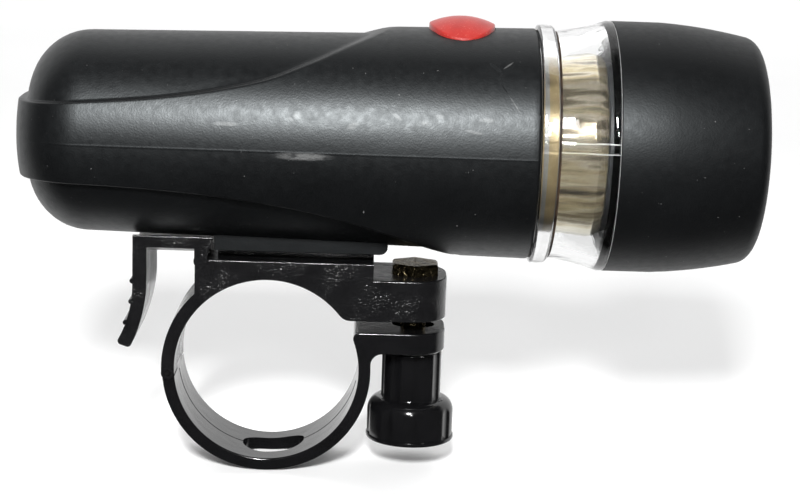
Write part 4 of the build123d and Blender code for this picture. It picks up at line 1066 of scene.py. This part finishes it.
bead_end = CLEAR_REAR + BEAD_LENGTH
flare_end = CLEAR_FRONT - CLEAR_RIM
flare_middle = (bead_end + flare_end) / 2
neck_front = CLEAR_FRONT + NECK_LENGTH
clear_floor = CLEAR_REAR + CLEAR_FLOOR
bead_rear = [(CLEAR_REAR + along * MM, BEAD_R - drop * MM) for along, drop in BEAD_REAR_ROUND]
bead_front = [(bead_end - along * MM, BEAD_R - drop * MM) for along, drop in BEAD_FRONT_ROUND]
clear_section = [
    (clear_low.x, SPIGOT_BORE_R),
    (clear_low.x, SPIGOT_R),
    (SEAL_MIDDLE - SEAL_GROOVE_HALF, SPIGOT_R),
    (SEAL_MIDDLE - SEAL_GROOVE_HALF, SEAL_GROOVE_R),
    (SEAL_MIDDLE + SEAL_GROOVE_HALF, SEAL_GROOVE_R),
    (SEAL_MIDDLE + SEAL_GROOVE_HALF, SPIGOT_R),
    (CLEAR_REAR, SPIGOT_R),
    *bow((CLEAR_REAR, BEAD_FOOT_R), *bead_rear, BEAD_ARC_STEPS),
    ((CLEAR_REAR + bead_end) / 2, BEAD_R),
    *bow(*bead_front, (bead_end, GROOVE_R), BEAD_ARC_STEPS),
    (bead_end + GROOVE_SHADE_WIDTH, GROOVE_R + GROOVE_SHADE_RISE),
    *bow((bead_end, GROOVE_R), (flare_middle, FLARE_MID_R), (flare_end, BEZEL_R), FLARE_STEPS)[1:],
    (CLEAR_FRONT, BEZEL_R),
    (CLEAR_FRONT, NECK_R),
    (neck_front, NECK_R),
    (neck_front, NECK_BORE_R),
    (CLEAR_FRONT, NECK_BORE_R),
    *bow(
        (flare_end, BEZEL_R - CLEAR_WALL),
        (flare_middle, FLARE_MID_R - CLEAR_WALL),
        (bead_end, CLEAR_BORE_R),
        FLARE_STEPS,
    ),
    (clear_floor, CLEAR_BORE_R),
    (clear_floor, SPIGOT_BORE_R),
]
print("clear ring from", round(CLEAR_REAR / MM, 2), "to", round(CLEAR_FRONT / MM, 2), "mm")

# %% [markdown]
# The three finishes go onto the ring's faces by place: each face knows how far along the beam and how far
# from the axis it is, and how far round from the seam. The ring casts no shadow, because the renderer
# would stop the light at it as if it were solid, and the skirt inside would be left in the dark.

# %% Turn the clear ring
CLEAR_SEAM = 0.08 * MM
RIM_HIGHLIGHT_LENGTH = 0.35 * MM
RIM_HIGHLIGHT_DEPTH = 0.3 * MM
TOUCH = 0.01 * MM
GROOVE_SHADE_BACK = 0.1 * MM
GROOVE_SHADE_SHARE = 0.8
GROOVE_SHADE_DEPTH = 0.2 * MM
PAINTED_HIGHLIGHT, GROOVE_SHADED = 1, 2


def lathe_place(face):
    """How far along the beam and how far from the lamp axis the middle of a face is."""
    return face.center.x, hypot(face.center.y, face.center.z - AXIS_Z)


clear_ring = lathe(
    "clear_ring_turned",
    clear_section,
    "head",
    "clear_plastic",
    ring_clear,
    ["clear_ring"],
    soften=0.1 * MM,
    seam=CLEAR_SEAM,
)
clear_ring.visible_shadow = False
clear_ring.data.materials.append(pale_edge_highlight())
clear_ring.data.materials.append(groove_shade())
for face in clear_ring.data.polygons:
    along, from_axis = lathe_place(face)
    off_seam = degrees(off_seam_turn(atan2(face.center.z - AXIS_Z, face.center.y)))
    near_rim = CLEAR_FRONT - RIM_HIGHLIGHT_LENGTH < along < CLEAR_FRONT + TOUCH
    on_shoulder = SEAM_HALF_TURN[0] < off_seam < SEAM_HALF_TURN[1] and bead_end < along < CLEAR_FRONT
    in_groove = bead_end - GROOVE_SHADE_BACK < along < bead_end + GROOVE_SHADE_SHARE * GROOVE_SHADE_WIDTH
    # painted highlight: pale lines along the front rim and the seam's shoulders
    if near_rim and from_axis > BEZEL_R - RIM_HIGHLIGHT_DEPTH:
        face.material_index = PAINTED_HIGHLIGHT
    if on_shoulder and from_axis > CLEAR_BORE_R + CLEAR_WALL / 2:
        face.material_index = PAINTED_HIGHLIGHT
    # painted shade: the dark line in the groove beside the bead
    if in_groove and from_axis > GROOVE_R - GROOVE_SHADE_DEPTH:
        face.material_index = GROOVE_SHADED
groove_shaded_faces = sum(face.material_index == GROOVE_SHADED for face in clear_ring.data.polygons)
print("faces with grime:", groove_shaded_faces)

# %% [markdown]
# Inside the ring and behind the lens is the reflector, one moulding coated with metal in a vacuum. Its
# skirt shows through the clear ring as a warm, pale gold cylinder with bands along it. Metal is one shader
# value here, and the bands are painted reflections of the room: a noise stretched along the beam, read
# through one darker ramp above, as painted shade, and through brighter ones below, as painted light and a
# painted reflection of the pale floor along the bottom.
# On the collar under the bead the coating is thin and dull, grey behind and brown in front, and the neck
# under the head has none.

# %% Metallised plastic
def painted_reflection_metal():
    """Vacuum-coated plastic, pale gold, with painted reflections: long bands of grey and brown along the
    beam.
    """
    finish, shader = new_finish("metallised_painted_reflections", 0.1, Metallic=0.78)
    along = piece_place(finish, (0.05, 1, 1))
    # painted reflection: this noise lays the room's bands along the skirt
    streaks = noise(finish, 2.3 * MM, 3, along)
    upper_shaded_bands = ramp(
        finish,
        streaks,
        (0.30, (0.05, 0.05, 0.045)),
        (0.42, (0.20, 0.17, 0.12)),
        (0.48, (0.42, 0.39, 0.32)),
        (0.55, (0.36, 0.31, 0.20)),
        (0.66, (0.14, 0.13, 0.11)),
    )
    lower_lit_bands = ramp(
        finish,
        streaks,
        (0.30, (0.10, 0.09, 0.07)),
        (0.42, (0.44, 0.37, 0.23)),
        (0.48, (0.70, 0.64, 0.48)),
        (0.55, (0.60, 0.51, 0.30)),
        (0.66, (0.30, 0.25, 0.16)),
    )
    # painted light and shade: the skirt's lower half lighter than its top
    lower_half_light = ramp(finish, spot(finish, (45, 0, 18), (40, 40, 40)), (0.42, 0.0), (0.62, 1.0))
    painted_reflection_bands = blended(finish, lower_half_light, upper_shaded_bands, lower_lit_bands)
    # painted reflection of the pale floor along the skirt's bottom
    under = ramp(finish, spot(finish, (45, 0, 20), (60, 60, 10)), (0.35, 0.0), (0.6, 1.0))
    floor_reflection_bands = ramp(
        finish,
        streaks,
        (0.30, (0.60, 0.56, 0.45)),
        (0.50, (0.95, 0.92, 0.8)),
        (0.66, (0.75, 0.69, 0.52)),
    )
    painted_reflection_bands = blended(finish, under, painted_reflection_bands, floor_reflection_bands)
    joined(finish, painted_reflection_bands, shader.inputs["Base Color"])
    dulled = noise(finish, 2.6 * MM, 3, piece_place(finish, (0.06, 1, 1)))
    sheen = ramp(finish, dulled, (0.3, 0.06), (0.7, 0.13))
    joined(finish, sheen, shader.inputs["Roughness"])
    bumped(finish, shader, noise(finish, 2.0 * MM, 2, piece_place(finish, (0.08, 1, 1))), 0.03 * MM)
    return finish


gold = painted_reflection_metal()
print("skirt finish:", gold.name)


# %% Thin coatings and bare plastic
def thin_coating(name, dark, light):
    """The same coating where it is thin and dull, on the collar under the bead."""
    finish, shader = new_finish(name, 0.3, Metallic=0.6)
    tone = ramp(finish, noise(finish, 3 * MM, 3), (0.3, dark), (0.7, light))
    joined(finish, tone, shader.inputs["Base Color"])
    bumped(finish, shader, noise(finish, 0.5 * MM), 0.01 * MM)
    return finish


def bare_black():
    """Black plastic that was masked when the rest was coated."""
    finish, shader = new_finish("uncoated_black", 0.35)
    tone = ramp(finish, noise(finish, 2 * MM, 3), (0.3, (0.018, 0.019, 0.02)), (0.7, (0.03, 0.031, 0.032)))
    joined(finish, tone, shader.inputs["Base Color"])
    bumped(finish, shader, noise(finish, 0.4 * MM), 0.01 * MM)
    return finish


uncoated = bare_black()
brown = thin_coating("thin_coating_brown", (0.08, 0.062, 0.03), (0.18, 0.14, 0.075))
grey = thin_coating("thin_coating_grey", (0.07, 0.072, 0.07), (0.15, 0.152, 0.148))
print("collar and neck finishes:", grey.name, brown.name, uncoated.name)


# %% Bright metal
def bright_metal(name, dark, light, roughness, grain=0.12 * MM, depth=0.006 * MM):
    """Plated or drawn metal with a fine or a beaten skin and a little tarnish."""
    finish, shader = new_finish(name, roughness, Metallic=1.0)
    tone = ramp(finish, noise(finish, 1.5 * MM, 4), (0.3, dark), (0.7, light))
    joined(finish, tone, shader.inputs["Base Color"])
    worn = ramp(finish, noise(finish, 0.6 * MM, 4), (0.3, roughness * 0.7), (0.7, roughness * 1.4))
    joined(finish, worn, shader.inputs["Roughness"])
    bumped(finish, shader, noise(finish, grain, 2), depth)
    return finish


silver = bright_metal("silver_coating", (0.66, 0.66, 0.64), (0.84, 0.83, 0.80), 0.1, 0.8 * MM, 0.004 * MM)
print("front finish:", silver.name)

# %% [markdown]
# The skirt widens a little towards the front. A moulding needs such a draft to leave its mould, and here it
# also lets the light's reflection run along the whole skirt. Its front shoulder is a large round that leads
# down to the black neck. From the front the reflector has five cups, one round each LED. The body is turned
# and the cups are cut out of it, so that their rims stay true circles.

# %% Reflector body
_, reflector_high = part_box("reflector")
REFLECTOR_FRONT = reflector_high.x
SKIRT_R = 13.98 * MM
SKIRT_REAR_R = 13.4 * MM
SKIRT_WALL = 1.4 * MM
SKIRT_GAP = 0.1 * MM
SKIRT_SHOULDER = 1.9 * MM
SHOULDER_LEAD = (0.2 * MM, 0.02 * MM)
SHOULDER_MIDDLE = (0.3, 0.35)
SHOULDER_END = 0.3 * MM
SHOULDER_STEPS = 12
COLLAR_R = 13.4 * MM
COLLAR_WALL = 1.0 * MM
COLLAR_PALE = 1.3 * MM
COLLAR_EDGE = 0.3 * MM
SHADE_SETBACK = 1.0 * MM
SHADE_R = 12.9 * MM
REFLECTOR_RIM = 3.0 * MM
FLOOR_SETBACK = 12.2 * MM

skirt_rear = clear_floor + SKIRT_GAP
skirt_bore = SKIRT_R - SKIRT_WALL
floor_x = REFLECTOR_FRONT - FLOOR_SETBACK
shade_start = CLEAR_FRONT - SHADE_SETBACK
shoulder_start = shade_start - SKIRT_SHOULDER
reflector_section = [
    (CLEAR_REAR, COLLAR_R - COLLAR_WALL),
    (CLEAR_REAR, COLLAR_R),
    (CLEAR_REAR + COLLAR_PALE, COLLAR_R),
    (skirt_rear - COLLAR_EDGE, COLLAR_R),
    (skirt_rear, SKIRT_REAR_R),
    (shoulder_start - SHOULDER_LEAD[0], SKIRT_R - SHOULDER_LEAD[1]),
    *bow(
        (shoulder_start, SKIRT_R),
        (
            shade_start - SHOULDER_MIDDLE[0] * SKIRT_SHOULDER,
            SKIRT_R - SHOULDER_MIDDLE[1] * (SKIRT_R - SHADE_R),
        ),
        (shade_start + SHOULDER_END, SHADE_R),
        SHOULDER_STEPS,
    ),
    (neck_front, SHADE_R),
    (REFLECTOR_FRONT - REFLECTOR_RIM, LENS_R),
    (REFLECTOR_FRONT, LENS_R),
    (REFLECTOR_FRONT, 0),
    (floor_x, 0),
    (floor_x, skirt_bore),
    (skirt_rear, skirt_bore),
]
reflector = lathe(
    "reflector_turned", reflector_section, "head", "reflector_metal", gold, ["reflector"], soften=0.05 * MM
)

# %% Cups
FLOOR_THICKNESS = 1.1 * MM
CUP_HOLE_R = 2.65 * MM
CUP_WALL = 0.15 * MM
CUP_MARGIN = 1.05 * MM
CUP_R = (LENS_R - CUP_MARGIN - CUP_WALL) / 3
CUP_BULGE = (3.6 * MM, 0.7 * MM)
CUP_STEPS = 14
CUP_RING_R = 2 * CUP_R + CUP_WALL
CUP_COUNT = 4

cup_floor = floor_x + FLOOR_THICKNESS
cup_section = [
    (REFLECTOR_FRONT + MM, 0),
    (floor_x - MM, 0),
    (floor_x - MM, CUP_HOLE_R),
    *bow(
        (cup_floor, CUP_HOLE_R),
        (cup_floor + CUP_BULGE[0], CUP_R - CUP_BULGE[1]),
        (REFLECTOR_FRONT, CUP_R),
        CUP_STEPS,
    ),
    (REFLECTOR_FRONT + MM, CUP_R),
]
cup_places = [(0, 0)]
for number in range(CUP_COUNT):
    turn = 2 * pi * number / CUP_COUNT
    cup_places.append((CUP_RING_R * cos(turn), CUP_RING_R * sin(turn)))
cups = []
for number, (y, z) in enumerate(cup_places, start=1):
    cups.append(lathe(
        f"cup_{number}", cup_section, "head", "reflector_metal", gold, soften=0, centre=(y, AXIS_Z + z)
    ))
cut_away(reflector, *cups)

# %% Coat the reflector
UNCOATED, BROWN, GREY, SILVER = 1, 2, 3, 4
EDGE_SLACK = 0.1 * MM

for coating in (uncoated, brown, grey, silver):
    reflector.data.materials.append(coating)
for face in reflector.data.polygons:
    along, from_axis = lathe_place(face)
    if shade_start < along < neck_front and from_axis > SHADE_R - EDGE_SLACK:
        face.material_index = UNCOATED
    if along < skirt_rear - EDGE_SLACK:
        face.material_index = BROWN if along > CLEAR_REAR + COLLAR_PALE else GREY
    if along > neck_front - EDGE_SLACK:
        face.material_index = SILVER
print("reflector coatings:", [coating.name for coating in reflector.data.materials])

# %% [markdown]
# The front lens is a flat clear disc, and each LED is a clear epoxy dome with its lead frame inside: a post
# with a dished top that holds the chip, and beside it a thinner post that the wire runs to. The domes are
# turned like the rest. The posts are small, but they are what the eye finds behind the lens.

# %% Lens
lens_low, lens_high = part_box("front_lens")
lens_clear = clear_plastic("lens_plastic", 0.004 * MM)
lens_section = [(lens_low.x, 0), (lens_low.x, LENS_R), (lens_high.x, LENS_R), (lens_high.x, 0)]
lathe("lens_disc", lens_section, "head", "clear_plastic", lens_clear, ["front_lens"], soften=0.3 * MM)

# %% LED sizes and epoxy
LED_R = 2.5 * MM
LED_FLANGE_R = 2.9 * MM
LED_FLANGE = 1.0 * MM
DOME_STEPS = 12
LED_EDGE = 0.06 * MM
POST_FOOT = 0.3 * MM
POST_R = 0.55 * MM
POST_TOP = 4.6 * MM
POST_CUP = 1.2 * MM
POST_DISH = 0.4 * MM
POST_DISH_R = 0.8 * MM
POST_OFF = -0.5 * MM
WIRE_POST_R = 0.28 * MM
WIRE_POST_RISE = 0.3 * MM
WIRE_POST_OFF = 0.95 * MM
POST_EDGE = 0.05 * MM


def epoxy():
    """Clear epoxy with the faint green cast of cast LEDs."""
    finish, shader = new_finish("clear_epoxy", 0.03, Transmission_Weight=1.0, IOR=1.52)
    tint = ramp(finish, noise(finish, 1.5 * MM), (0.3, (0.93, 0.96, 0.9)), (0.7, (0.98, 0.99, 0.96)))
    joined(finish, tint, shader.inputs["Base Color"])
    bumped(finish, shader, noise(finish, 0.8 * MM), 0.004 * MM)
    return finish


led_epoxy = epoxy()
print("LED finish:", led_epoxy.name)


# %% LEDs
def led_sections(base, tip):
    """The half sections of an LED's dome, its post and its wire post, between its base and its tip."""
    turns = [pi / 2 * step / DOME_STEPS for step in range(DOME_STEPS)]
    dome = [
        (base, 0),
        (base, LED_FLANGE_R),
        (base + LED_FLANGE, LED_FLANGE_R),
        (base + LED_FLANGE, LED_R),
        *[(tip - LED_R + LED_R * sin(turn), LED_R * cos(turn)) for turn in turns],
        (tip, 0),
    ]
    post = [
        (base + POST_FOOT, 0),
        (base + POST_FOOT, POST_R),
        (base + POST_TOP - POST_CUP, POST_R),
        (base + POST_TOP, POST_DISH_R),
        (base + POST_TOP - POST_DISH, 0),
    ]
    wire_post = [
        (base + POST_FOOT, 0),
        (base + POST_FOOT, WIRE_POST_R),
        (base + POST_TOP + WIRE_POST_RISE, WIRE_POST_R),
        (base + POST_TOP + WIRE_POST_RISE, 0),
    ]
    return dome, post, wire_post


lead_metal = bright_metal("tinned_leads", (0.55, 0.54, 0.5), (0.8, 0.78, 0.72), 0.25)
for number, (y, z) in enumerate(cup_places, start=1):
    led_low, led_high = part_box(f"led_{number}")
    dome, post, wire_post = led_sections(led_low.x, led_high.x)
    lathe(
        f"led_dome_{number}", dome, "head", "led_epoxy", led_epoxy, [f"led_{number}"],
        soften=LED_EDGE, centre=(y, AXIS_Z + z),
    )
    lathe(
        f"led_post_{number}", post, "head", "spring_steel", lead_metal,
        soften=POST_EDGE, centre=(y + POST_OFF, AXIS_Z + z),
    )
    lathe(
        f"led_wire_post_{number}", wire_post, "head", "spring_steel", lead_metal,
        soften=POST_EDGE, centre=(y + WIRE_POST_OFF, AXIS_Z + z),
    )

# %% [markdown]
# The clamp is moulded in a harder, glossier plastic than the barrel. Its saddle and latch have a fine
# leather-like grain that breaks the light into sparkles, while the strap and the knob are nearly smooth.
# The solids of the saddle, the latch and the strap already have their true shapes with softened rims, so
# they stay and only their finish is made.

# %% Gloss black
def gloss_black(name, roughness, grain, depth, colour):
    """Glossy black plastic with a grain of a chosen size and depth, and faint rubs."""
    finish, shader = new_finish(name, roughness, Specular_IOR_Level=0.55)
    deeper = tuple(0.7 * part for part in colour)
    tone = ramp(finish, noise(finish, 4 * MM, 4), (0.3, deeper), (0.7, colour))
    joined(finish, tone, shader.inputs["Base Color"])
    sheen = ramp(finish, noise(finish, 2.5 * MM, 5), (0.3, roughness * 0.75), (0.72, roughness * 1.5))
    joined(finish, sheen, shader.inputs["Roughness"])
    wave = bumped(finish, shader, noise(finish, 3.5 * MM, 1), 0.05 * MM)
    patches = ramp(finish, noise(finish, 5 * MM, 2), (0.42, 0.35), (0.6, 1.0))
    bumped(finish, shader, product(finish, noise(finish, grain, 3), patches), depth, under=wave)
    return finish


def dress(node, finish):
    """Gives a CAD node its finish."""
    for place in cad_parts[node].material_slots:
        place.material = finish
    return node


grained = gloss_black("grained_gloss_black", 0.17, 0.4 * MM, 0.17 * MM, (0.006, 0.006, 0.0065))
smooth_gloss = gloss_black("smooth_gloss_black", 0.13, 1.1 * MM, 0.012 * MM, (0.005, 0.005, 0.0055))
for gloss, group in ((grained, ("clamp_saddle", "release_latch")), (smooth_gloss, ("clamp_strap",))):
    print(gloss.name, "on", [dress(node, gloss) for node in group])

# %% [markdown]
# Where the two halves of the strap's mould met, a fine ridge runs round its inside, half way across its
# width. It is a thin bar of triangular section bent along the bore, in two lengths, one on each side of
# the slot.

# %% Strap parting ridge
BORE_R = 14.1 * MM
RIDGE = 0.05 * MM
RIDGE_HALF = 0.12 * MM
RIDGE_ARCS = ((188, 256), (289, 348))
RIDGE_STEP = 2


def ridge_arc(name, start, end):
    """A thin ridge inside the bore from one angle to another, in degrees from the beam's direction."""
    section = ((-RIDGE_HALF, -RIDGE), (0, RIDGE), (RIDGE_HALF, -RIDGE))
    turns = [radians(turn) for turn in range(start, end + 1, RIDGE_STEP)]
    rings = [
        [((BORE_R - inward) * cos(turn), y, (BORE_R - inward) * sin(turn)) for y, inward in section]
        for turn in turns
    ]
    return make_piece(name, *capped_rings(rings), "strap", "clamp_black", smooth_gloss)


for number, arc in enumerate(RIDGE_ARCS, start=1):
    ridge_arc(f"strap_ridge_{number}", *arc)

# %% [markdown]
# The thumb knob has shallow scallops down its shaft and its wider base, a round shoulder between them and
# a thin rim below. Like the barrel it is one grid, here of heights and angles: the radius is the smaller
# of the turned profile and the scallop's own arc, with the corner between them rounded.

# %% Knob sizes
knob_low, knob_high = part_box("thumb_knob")
bolt_low, bolt_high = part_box("clamp_bolt")
BOLT_X = (bolt_low.x + bolt_high.x) / 2
KNOB_SHAFT_R = 4.65 * MM
KNOB_BASE_R = 6.75 * MM
KNOB_BASE_HEIGHT = 6.5 * MM
KNOB_RIM_HEIGHT = 0.6 * MM
KNOB_RIM_R = 6.9 * MM
KNOB_FLUTES = 8
KNOB_FLUTE_R = 2.4 * MM
KNOB_FLUTE_DEPTH = 0.26 * MM
KNOB_FLUTE_TURN = radians(12)
KNOB_BORE_R = 3.0 * MM
KNOB_BORE_DEPTH = 12.7 * MM
KNOB_DISH = 0.4 * MM
KNOB_DISH_R = KNOB_BASE_R - 1.1 * MM
KNOB_FOOT_R = KNOB_BASE_R - 0.7 * MM
KNOB_EDGE = 0.25 * MM
KNOB_SHAFT_STEPS = 12
KNOB_SHOULDER_STEPS = 12
KNOB_BASE_STEPS = 6
FLUTE_EDGE = 0.12 * MM
FILLET_START = 0.3 * MM
FILLET_MIDDLE = (0.08 * MM, 0.05 * MM)
FILLET_WIDTH = 0.15 * MM
TOP_ROUND = ((0, 0.25), (0.07, 0.07))
RIM_ROUND = ((0, 0.12), (0.04, 0.03), (0.12, 0), (0.45, 0), (0.56, 0.05), (0.6, 0.2))
RIM_NECK = 0.02 * MM
KNOB_SHARP_ANGLE = 42
KNOB_STEPS = 256
shoulder_drop = KNOB_BASE_R - KNOB_SHAFT_R
base_top = knob_low.z + KNOB_BASE_HEIGHT
rim_top = knob_low.z + KNOB_RIM_HEIGHT
print("knob from", round(knob_low.z / MM, 2), "to", round(knob_high.z / MM, 2), "mm")


# %% Scallops
def scallop(angle, surface_r):
    """Radius of the scallops' arcs at an angle, or far out between them."""
    pitch = 2 * pi / KNOB_FLUTES
    off = (angle - KNOB_FLUTE_TURN + pitch / 2) % pitch - pitch / 2
    hub = surface_r + KNOB_FLUTE_R - KNOB_FLUTE_DEPTH
    reach = KNOB_FLUTE_R**2 - (hub * sin(off)) ** 2
    return hub * cos(off) - sqrt(reach) if reach > 0 else 2 * surface_r


def knob_ring(z, plain_r, fluted_r=0.0):
    """One ring of the knob, plain or with scallops for a surface of the given radius."""
    ring = []
    for step in range(KNOB_STEPS):
        turn = 2 * pi * step / KNOB_STEPS
        r = soft_least(plain_r, scallop(turn, fluted_r), FLUTE_EDGE) if fluted_r else plain_r
        ring.append((BOLT_X + r * cos(turn), r * sin(turn), z))
    return ring


def heights(top, bottom, steps):
    """Even steps of height from a top to a bottom."""
    return [top + (bottom - top) * step / steps for step in range(steps + 1)]


print("a scallop is", round((KNOB_BASE_R - scallop(KNOB_FLUTE_TURN, KNOB_BASE_R)) / MM, 2), "mm deep")

# %% Thumb knob
knob_rings = [knob_ring(knob_high.z - KNOB_BORE_DEPTH, KNOB_BORE_R), knob_ring(knob_high.z, KNOB_BORE_R)]
for drop, inward in TOP_ROUND:
    r = KNOB_SHAFT_R - inward * MM
    knob_rings.append(knob_ring(knob_high.z - drop * MM, r, r))
for z in heights(knob_high.z - KNOB_EDGE, base_top + FILLET_START, KNOB_SHAFT_STEPS):
    knob_rings.append(knob_ring(z, KNOB_SHAFT_R, KNOB_SHAFT_R))
fillet_r = KNOB_SHAFT_R + FILLET_MIDDLE[1]
knob_rings.append(knob_ring(base_top + FILLET_MIDDLE[0], fillet_r, fillet_r))
for step in range(KNOB_SHOULDER_STEPS + 1):
    turn = pi / 2 * step / KNOB_SHOULDER_STEPS
    r = KNOB_SHAFT_R + FILLET_WIDTH + (shoulder_drop - FILLET_WIDTH) * sin(turn)
    knob_rings.append(knob_ring(base_top - shoulder_drop * (1 - cos(turn)), r, KNOB_BASE_R))
for z in heights(base_top - shoulder_drop, rim_top + FILLET_WIDTH, KNOB_BASE_STEPS)[1:]:
    knob_rings.append(knob_ring(z, KNOB_BASE_R, KNOB_BASE_R))
knob_rings.append(knob_ring(rim_top, KNOB_BASE_R - RIM_NECK, KNOB_BASE_R))
for drop, inward in RIM_ROUND:
    knob_rings.append(knob_ring(rim_top - drop * MM, KNOB_RIM_R - inward * MM))
knob_rings.append(knob_ring(knob_low.z, KNOB_FOOT_R))
knob_rings.append(knob_ring(knob_low.z + KNOB_DISH, KNOB_DISH_R))
make_piece(
    "knob_scalloped",
    *capped_rings(knob_rings),
    "knob",
    "clamp_black",
    smooth_gloss,
    ["thumb_knob"],
    sharp=KNOB_SHARP_ANGLE,
)

# %% [markdown]
# What is left is metal and the parts inside. The bolt head shows on top of the lug with a yellow zinc cast.
# The inner parts show only through the clear ring or where someone opens the model, and each still gets the
# finish of its own stuff: brass, plated spring steel, solder mask, plain moulded plastic and cell jackets.

# %% Metals
zinc = bright_metal("zinc_plate", (0.04, 0.03, 0.015), (0.26, 0.21, 0.12), 0.22, 0.7 * MM, 0.35 * MM)
steel = bright_metal("bright_steel", (0.42, 0.42, 0.42), (0.62, 0.62, 0.61), 0.3)
dark_steel = bright_metal("blackened_steel", (0.02, 0.02, 0.02), (0.06, 0.06, 0.06), 0.3)
brass = bright_metal("plain_brass", (0.62, 0.43, 0.16), (0.85, 0.66, 0.32), 0.28)
nickel = bright_metal("nickel_plate", (0.5, 0.49, 0.46), (0.74, 0.72, 0.67), 0.22)
for metal, group in (
    (zinc, ("clamp_bolt",)),
    (steel, ("clamp_washer",)),
    (dark_steel, ("hinge_pin",)),
    (brass, ("contact_strip", "front_contact", "ring_contact", "knob_insert")),
    (nickel, ("tray_springs", "tray_contacts", "contact_spring")),
):
    print(metal.name, "on", [dress(node, metal) for node in group])


# %% Inner plastics and rubber
def plain_moulding(name, dark, light, roughness):
    """An inner moulding, board or jacket in two close tones with a light grain."""
    finish, shader = new_finish(name, roughness)
    tone = ramp(finish, noise(finish, 3 * MM, 3), (0.3, dark), (0.7, light))
    joined(finish, tone, shader.inputs["Base Color"])
    sheen = ramp(finish, noise(finish, 1.5 * MM, 3), (0.3, roughness * 0.85), (0.7, roughness * 1.15))
    joined(finish, sheen, shader.inputs["Roughness"])
    bumped(finish, shader, noise(finish, 0.3 * MM), 0.01 * MM)
    return finish


seal = plain_moulding("seal_rubber_matt", (0.012, 0.012, 0.012), (0.025, 0.025, 0.026), 0.6)
tray = plain_moulding("inner_black_plastic", (0.03, 0.03, 0.032), (0.05, 0.05, 0.053), 0.5)
board = plain_moulding("green_solder_mask", (0.012, 0.09, 0.03), (0.02, 0.15, 0.05), 0.3)
jacket = plain_moulding("cell_jacket_plain", (0.05, 0.055, 0.065), (0.09, 0.1, 0.12), 0.3)
cover = plain_moulding("lead_cover_red", (0.4, 0.02, 0.015), (0.55, 0.04, 0.03), 0.4)
for stuff, group in (
    (seal, ("head_seal", "lens_gasket")),
    (tray, ("battery_tray", "switch_carrier", "switch_body", "switch_plunger", "contact_plate")),
    (board, ("switch_board", "led_board")),
    (jacket, ("cell_1", "cell_2", "cell_3", "cell_4")),
    (cover, ("lead_wires",)),
):
    print(stuff.name, "on", [dress(node, stuff) for node in group])
